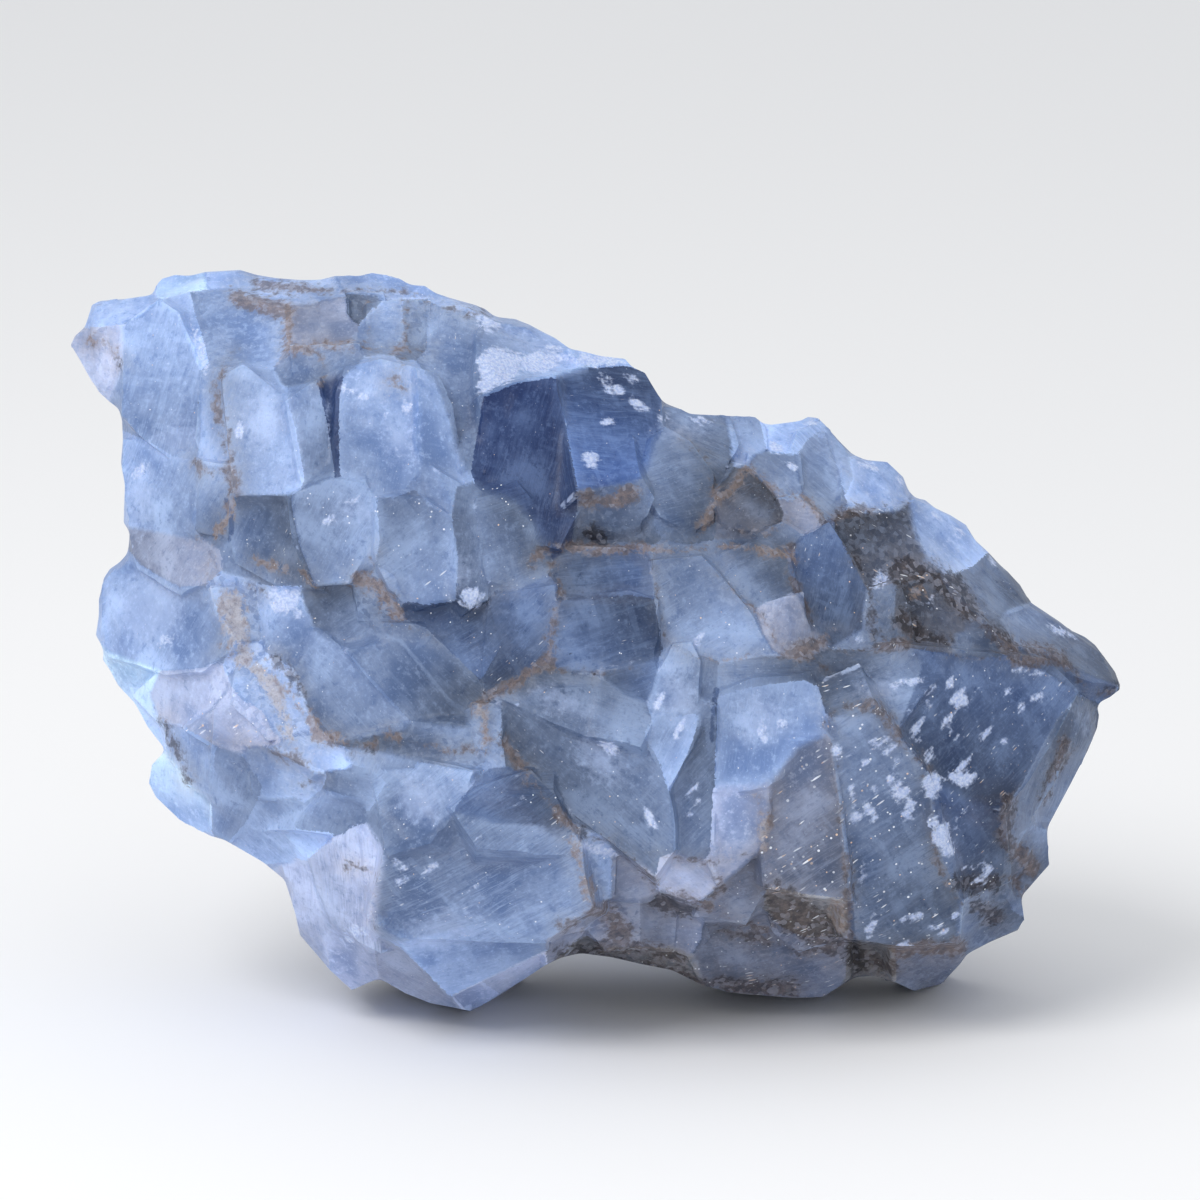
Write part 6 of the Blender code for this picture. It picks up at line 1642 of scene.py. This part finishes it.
# ---------------------------------------------------------------- the material
class Graph:
    """Short ways to add nodes to a material and join them."""

    def __init__(self, material):
        self.tree = material.node_tree

    def new(self, kind, inputs=None, **settings):
        node = self.tree.nodes.new(kind)
        for name, value in settings.items():
            setattr(node, name, value)
        for name, value in (inputs or {}).items():
            self.put(node.inputs[name], value)
        return node

    def put(self, socket, value):
        if isinstance(value, bpy.types.NodeSocket):
            self.tree.links.new(value, socket)
        elif value is not None:
            socket.default_value = value

    def math(self, operation, a, b=None, c=None, clamp=False):
        node = self.new("ShaderNodeMath", operation=operation, use_clamp=clamp)
        for socket, value in zip(node.inputs, (a, b, c)):
            self.put(socket, value)
        return node.outputs[0]

    def mix(self, factor, a, b, blend="MIX"):
        node = self.new("ShaderNodeMix", data_type="RGBA", blend_type=blend, clamp_factor=True)
        self.put(node.inputs[0], factor)
        self.put(node.inputs[6], a)
        self.put(node.inputs[7], b)
        return node.outputs[2]

    def ramp(self, value, low, high, out_low=0.0, out_high=1.0, smooth=True):
        node = self.new("ShaderNodeMapRange", interpolation_type="SMOOTHSTEP" if smooth else "LINEAR")
        for name, v in (("Value", value), ("From Min", low), ("From Max", high), ("To Min", out_low), ("To Max", out_high)):
            self.put(node.inputs[name], v)
        return node.outputs["Result"]

    def attribute(self, name):
        return self.new("ShaderNodeAttribute", attribute_name=name, attribute_type="GEOMETRY")

    def split(self, vector):
        return self.new("ShaderNodeSeparateXYZ", {0: vector}).outputs

    def scaled(self, vector, by):
        node = self.new("ShaderNodeVectorMath", {0: vector}, operation="MULTIPLY")
        node.inputs[1].default_value = by
        return node.outputs[0]

    def noise(self, vector, scale, detail=3.0, roughness=0.55, distortion=0.0):
        node = self.new("ShaderNodeTexNoise", {"Vector": vector, "Scale": scale, "Detail": detail, "Roughness": roughness,
                                               "Distortion": distortion}, noise_dimensions="3D")
        return node.outputs["Fac"]

    def cells(self, vector, scale, feature="F1", randomness=1.0):
        return self.new("ShaderNodeTexVoronoi", {"Vector": vector, "Scale": scale, "Randomness": randomness},
                        voronoi_dimensions="3D", feature=feature)


def colour(r, g, b):
    value = np.array((r, g, b)) / 255
    value = np.where(value <= 0.04045, value / 12.92, ((value + 0.055) / 1.055) ** 2.4)
    return tuple(float(v) for v in value) + (1.0,)


def calcite():
    material = bpy.data.materials.new("blue_calcite_rough")
    material.use_nodes = True
    g = Graph(material)
    shader = g.tree.nodes["Principled BSDF"]

    tone = g.attribute("tone")
    stripes_at = g.attribute("grain_place").outputs["Vector"]
    stripe, glint, grain = g.split(g.attribute("kind").outputs["Vector"])
    bruise_mm, seam_mm, seam_tone = g.split(g.attribute("marks").outputs["Vector"])
    hollow, edge, crease = g.split(g.attribute("relief").outputs["Vector"])
    frost_mm, crack_mm, patches = g.split(g.attribute("soft").outputs["Vector"])
    border_mm, border_soft, border_accent = g.split(g.attribute("border").outputs["Vector"])
    unseen = g.attribute("unseen").outputs["Fac"]
    cloud, stripe_patch, swarm = g.split(g.attribute("haze").outputs["Vector"])
    place = g.scaled(g.new("ShaderNodeTexCoord").outputs["Object"], (1000, 1000, 1000))   # millimetres

    # four textures do all the work: veins of flaw, grit, and two sets of striations
    flaw = g.noise(place, 0.85, 4, 0.68)
    grit = g.noise(place, 2.6, 2, 0.6)
    fine = g.noise(g.scaled(stripes_at, (0.30, 3.8, 1.0)), 1.0, 2, 0.7)
    coarse = g.noise(g.scaled(stripes_at, (0.16, 0.85, 1.0)), 1.0, 2, 0.66)
    crumbs = g.cells(place, 1.45)
    crumb, crumb_b, _ = g.split(crumbs.outputs["Color"])

    # each crystal keeps its own tone up to its border with the next one
    ragged = g.math("SUBTRACT", flaw, 0.5)
    across_border = g.math("ADD", border_mm, g.math("MULTIPLY", ragged, 0.9))
    keep = g.ramp(across_border, g.math("MULTIPLY", border_soft, -1.0), border_soft)
    body = g.mix(keep, g.attribute("other_tone").outputs["Color"], tone.outputs["Color"])

    # cloudy veils inside the crystal
    light = g.mix(0.18, g.mix(1.0, body, (1.62, 1.56, 1.44, 1), "MULTIPLY"), colour(160, 186, 232))
    deep = g.mix(1.0, body, (0.52, 0.61, 0.74, 1), "MULTIPLY")
    body = g.mix(g.ramp(cloud, 0.52, 0.86, 0.0, 0.80), body, light)
    body = g.mix(g.ramp(cloud, 0.48, 0.14, 0.0, 0.90), body, deep)
    body = g.mix(g.ramp(flaw, 0.52, 0.70, 0.0, 0.50), body, light)
    body = g.mix(g.ramp(flaw, 0.48, 0.32, 0.0, 0.55), body, deep)

    # the border itself: with a dark accent, a line that is partly a dark joint and partly painted shade; with a pale
    # accent, a line that is partly frost and partly a painted highlight on the edge
    near_border = g.ramp(g.math("ABSOLUTE", across_border), 0.42, 0.05)
    body = g.mix(g.math("MULTIPLY", near_border, g.ramp(border_accent, 0.0, -0.7, 0.0, 0.75)), body, deep)
    body = g.mix(g.math("MULTIPLY", near_border, g.ramp(border_accent, 0.25, 0.9, 0.0, 0.60)), body, light)
    # painted shade: the creases between blocks on the hidden side are darkened
    body = g.mix(g.math("MULTIPLY", g.ramp(crease, 0.55, 0.10), g.math("MULTIPLY", unseen, 0.60)), body, deep)
    rim_glow = g.math("MULTIPLY", g.ramp(across_border, 2.2, 0.1, 0.0, 0.40), g.ramp(stripe_patch, 0.35, 0.70))
    body = g.mix(rim_glow, body, light)

    # wispy flaws and striations
    wisp = g.math("ABSOLUTE", g.math("SUBTRACT", coarse, 0.5))
    body = g.mix(g.math("MULTIPLY", g.ramp(wisp, 0.022, 0.0, 0.0, 0.50), g.ramp(cloud, 0.35, 0.7)), body, light)
    cross = g.noise(g.scaled(stripes_at, (0.55, 0.11, 1.0)), 1.0, 1, 0.6)
    body = g.mix(g.math("MULTIPLY", g.ramp(cross, 0.60, 0.68, 0.0, 0.40), stripe), body, light)
    body = g.mix(g.math("MULTIPLY", g.ramp(cross, 0.40, 0.32, 0.0, 0.40), stripe), body, deep)
    # a fine speckle everywhere
    body = g.mix(g.ramp(grit, 0.55, 0.75, 0.0, 0.38), body, light)
    body = g.mix(g.ramp(grit, 0.45, 0.25, 0.0, 0.30), body, deep)
    patch = g.ramp(stripe_patch, 0.30, 0.72, 0.10, 1.0)
    amount = g.math("MULTIPLY", stripe, patch)
    body = g.mix(g.math("MULTIPLY", g.ramp(fine, 0.53, 0.68), g.math("MULTIPLY", amount, 0.55)), body, light)
    body = g.mix(g.math("MULTIPLY", g.ramp(fine, 0.46, 0.32), g.math("MULTIPLY", amount, 0.55)), body, deep)
    body = g.mix(g.math("MULTIPLY", g.ramp(coarse, 0.52, 0.70), g.math("MULTIPLY", stripe, 0.45)), body, light)
    body = g.mix(g.math("MULTIPLY", g.ramp(coarse, 0.46, 0.30), g.math("MULTIPLY", stripe, 0.40)), body, deep)

    # painted shade: the sides of a block, down in the gaps, and the rock between the blocks are made a little darker
    body = g.mix(g.math("MULTIPLY", tone.outputs["Alpha"], 0.22), body, deep)

    # granular rock: small crystals of mixed tone
    gritty = g.mix(g.ramp(crumb, 0.55, 0.95, 0.0, 0.60), body, light)
    gritty = g.mix(g.ramp(crumb, 0.40, 0.10, 0.0, 0.8), gritty, deep)
    body = g.mix(g.math("MULTIPLY", grain, 0.80), body, gritty)

    # worn, frosted edges and soft frosted patches
    frosty = colour(184, 202, 240)
    worn = g.math("ADD", g.ramp(edge, 0.20, 0.85), g.math("MULTIPLY", ragged, 1.6))
    worn = g.math("MULTIPLY", g.ramp(worn, 0.30, 0.95), 0.50)
    body = g.mix(worn, body, frosty)
    soft = g.math("ADD", frost_mm, g.math("MULTIPLY", ragged, 6.0))
    body = g.mix(g.ramp(soft, -0.6, 3.0, 0.0, 0.34), body, frosty)

    # dark cracks
    crack = g.ramp(g.math("ADD", crack_mm, g.math("MULTIPLY", ragged, 0.8)), 0.16, -0.10)
    body = g.mix(g.math("MULTIPLY", crack, 0.80), body, g.mix(1.0, body, (0.30, 0.38, 0.52, 1), "MULTIPLY"))

    # stain: drawn seams on the front, and along the creases everywhere; the hollows take the same brown-grey in
    # patches, partly as stain and partly as painted shade
    seam = g.math("SUBTRACT", g.math("MULTIPLY", ragged, 5.0), seam_mm)
    seam = g.math("ADD", seam, g.ramp(swarm, 0.25, 0.75, -0.75, 0.45))
    wash = g.ramp(seam, -3.2, 0.6, 0.0, 0.42)
    seam = g.ramp(seam, -0.50, 0.70)
    reach = g.math("ADD", g.ramp(patches, 0.40, 0.72, 0.0, 1.5), g.math("MULTIPLY", ragged, 2.2))
    vein = g.ramp(g.math("SUBTRACT", reach, crease), 0.0, 1.0)
    vein = g.math("MULTIPLY", vein, g.math("ADD", g.math("MULTIPLY", unseen, 0.60), 0.12))
    # hollows turn brown-grey in patches: partly stain, partly painted shade
    hollow_stain_and_shade = g.math("MULTIPLY", g.ramp(hollow, 0.55, 1.2), g.ramp(patches, 0.38, 0.66, 0.06, 0.60))
    stain_and_hollow_shade = g.math("MAXIMUM", g.math("MULTIPLY", seam, 0.92), g.math("MAXIMUM", vein, hollow_stain_and_shade))
    tint = g.mix(1.0, body, (0.98, 0.80, 0.62, 1), "MULTIPLY")
    body = g.mix(wash, body, tint)
    shade = g.ramp(seam, 0.0, 0.6, 0.60, seam_tone)
    shade = g.math("ADD", shade, g.math("MULTIPLY", ragged, 1.2))
    stain_ramp = g.new("ShaderNodeValToRGB", {"Fac": shade})
    stops = stain_ramp.color_ramp
    stops.elements[0].position, stops.elements[0].color = 0.0, colour(190, 186, 190)
    stops.elements[1].position, stops.elements[1].color = 1.0, colour(36, 32, 33)
    for position, c in ((0.20, colour(158, 150, 150)), (0.36, colour(142, 124, 114)), (0.50, colour(116, 102, 96)),
                        (0.66, colour(92, 82, 80)), (0.82, colour(62, 56, 57))):
        stop = stops.elements.new(position)
        stop.color = c
    sand = stain_ramp.outputs["Color"]
    sand = g.mix(g.ramp(crumb, 0.6, 1.0, 0.0, 0.50), sand, colour(158, 160, 176))
    sand = g.mix(g.ramp(grit, 0.5, 0.3, 0.0, 0.50), sand, g.mix(1.0, sand, (0.50, 0.48, 0.50, 1), "MULTIPLY"))
    body = g.mix(g.math("MULTIPLY", stain_and_hollow_shade, 0.76), body, sand)

    # bruises: opaque, powdery white where the crystal was struck
    hit = g.math("ADD", g.math("MULTIPLY", ragged, 2.2), g.math("MULTIPLY", g.math("SUBTRACT", coarse, 0.5), 2.0))
    hit = g.math("SUBTRACT", hit, bruise_mm)
    far_hits = g.math("MULTIPLY", g.ramp(patches, 0.74, 0.84), g.ramp(g.math("ADD", flaw, g.math("MULTIPLY", edge, 0.10)), 0.56, 0.64))
    hit = g.math("MAXIMUM", g.ramp(hit, -0.22, 0.50), g.math("MULTIPLY", g.math("MULTIPLY", far_hits, unseen), 0.8))
    powder = g.mix(g.ramp(grit, 0.35, 0.65), colour(172, 189, 229), colour(206, 217, 243))
    body = g.mix(g.math("MULTIPLY", hit, 0.86), body, powder)

    # painted glints: short bright dashes along the striations, and points, set into the surface colour as painted
    # highlights
    dash = g.cells(g.scaled(stripes_at, (0.40, 2.3, 0.13)), 1.0, randomness=0.85)
    chance = g.split(dash.outputs["Color"])[0]
    size = g.math("MULTIPLY", g.ramp(chance, 0.45, 1.0, 0.0, 0.34, smooth=False), g.math("ADD", glint, 0.15))
    shine = g.ramp(g.math("SUBTRACT", size, dash.outputs["Distance"]), 0.0, 0.10)
    shine = g.math("MULTIPLY", shine, g.math("MULTIPLY", g.ramp(swarm, 0.38, 0.62), glint))
    point_size = g.math("MULTIPLY", g.ramp(crumb_b, 0.48, 1.0, 0.0, 0.26, smooth=False), g.math("ADD", glint, 0.22))
    points = g.ramp(g.math("SUBTRACT", point_size, crumbs.outputs["Distance"]), 0.0, 0.06)
    points = g.math("MULTIPLY", points, g.ramp(swarm, 0.62, 0.36, 0.40, 1.0))
    shine = g.math("MINIMUM", g.math("ADD", shine, points), 1.0)
    body = g.mix(g.math("MULTIPLY", shine, 0.88), body, g.mix(g.ramp(crumb, 0.80, 0.86), colour(236, 241, 252), colour(236, 206, 180)))

    rough = g.math("ADD", 0.36, g.math("MULTIPLY", ragged, 0.5))
    rough = g.math("ADD", rough, g.math("MULTIPLY", g.math("MAXIMUM", stain_and_hollow_shade, hit), 0.40))
    rough = g.math("ADD", rough, g.math("MULTIPLY", grain, 0.15))
    rough = g.math("SUBTRACT", rough, g.math("MULTIPLY", shine, 0.25), clamp=True)

    height = g.math("MULTIPLY", g.math("ADD", fine, g.math("MULTIPLY", coarse, 1.6)), amount)
    grime = g.math("MAXIMUM", g.math("MAXIMUM", grain, g.ramp(seam_mm, 0.4, -0.4)), g.math("MAXIMUM", g.ramp(bruise_mm, 0.2, -0.4), 0.22))
    height = g.math("ADD", height, g.math("MULTIPLY", g.math("MULTIPLY", grit, grime), 1.7))
    bump = g.new("ShaderNodeBump", {"Height": height, "Strength": 0.5, "Distance": 0.00022})

    g.put(shader.inputs["Base Color"], body)
    g.put(shader.inputs["Roughness"], rough)
    g.put(shader.inputs["Normal"], bump.outputs["Normal"])
    shader.inputs["IOR"].default_value = 1.5
    shader.inputs["Specular IOR Level"].default_value = 0.22
    shader.inputs["Subsurface Weight"].default_value = 0.18
    shader.inputs["Subsurface Radius"].default_value = (0.45, 0.70, 1.0)
    shader.inputs["Subsurface Scale"].default_value = 0.0035
    return material


# ---------------------------------------------------------------- the piece
axes, value, field, second, winner = field_on_grid()
spots, quads = skin(axes, field, winner)
spots, quads = largest_part(spots, quads)
spots = filleted(spots, quads, axes, field)
print("skin cells", len(spots), "quads", len(quads))
rock_mesh = thinned(spots, quads)
print("skin triangles", len(rock_mesh.polygons))
paint(rock_mesh, axes, field, second, winner)
rock_mesh.shade_smooth()
rock_mesh.set_sharp_from_angle(angle=math.radians(24))
rock_mesh.materials.clear()
rock_mesh.materials.append(calcite())
rock_mesh.name = "calcite_skin"
rock = bpy.data.objects.new("calcite_skin", rock_mesh)
bpy.context.scene.collection.objects.link(rock)
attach(rock, "root")
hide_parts("blue_calcite_rough")

# ---------------------------------------------------------------- floor, camera and light
floor_mesh = bpy.data.meshes.new("floor")
floor_mesh.from_pydata([(-6, -6, 0), (6, -6, 0), (6, 6, 0), (-6, 6, 0)], [], [(0, 1, 2, 3)])
floor = bpy.data.objects.new("floor", floor_mesh)
bpy.context.scene.collection.objects.link(floor)
pale = bpy.data.materials.new("pale_floor")
pale.use_nodes = True
pale.node_tree.nodes["Principled BSDF"].inputs["Base Color"].default_value = (0.90, 0.90, 0.91, 1)
pale.node_tree.nodes["Principled BSDF"].inputs["Roughness"].default_value = 0.9
floor_mesh.materials.append(pale)

lens = bpy.data.cameras.new("camera")
lens.sensor_fit = "HORIZONTAL"
lens.sensor_width = 36.0
lens.lens = 36.0 * VIEW_DISTANCE / (1200 * UNIT)
lens.clip_start, lens.clip_end = 0.01, 50.0
camera = bpy.data.objects.new("camera", lens)
bpy.context.scene.collection.objects.link(camera)
turn = Matrix((tuple(RIGHT), tuple(UP), tuple(NEAR))).transposed().to_4x4()
camera.matrix_world = Matrix.Translation(Vector([float(c) for c in EYE])) @ turn
bpy.context.scene.camera = camera


def soft_light(name, place, aim, size, power, tint):
    lamp = bpy.data.lights.new(name, "AREA")
    lamp.shape = "DISK"
    lamp.size, lamp.energy, lamp.color = size, power, tint
    obj = bpy.data.objects.new(name, lamp)
    obj.location = place
    obj.rotation_euler = (Vector(aim) - Vector(place)).to_track_quat("-Z", "Y").to_euler()
    bpy.context.scene.collection.objects.link(obj)


soft_light("overhead", (-0.50, -0.55, 0.85), (0, 0, 0.05), 0.6, 5.6, (1.0, 0.985, 0.965))
soft_light("front_fill", (0.7, -1.1, 0.30), (0, 0, 0.05), 0.9, 0.8, (0.96, 0.98, 1.0))

world = bpy.data.worlds.new("studio")
world.use_nodes = True
world.node_tree.nodes["Background"].inputs["Color"].default_value = (0.97, 0.985, 1.0, 1)
world.node_tree.nodes["Background"].inputs["Strength"].default_value = 0.80
bpy.context.scene.world = world
bpy.context.scene.view_settings.view_transform = "Standard"
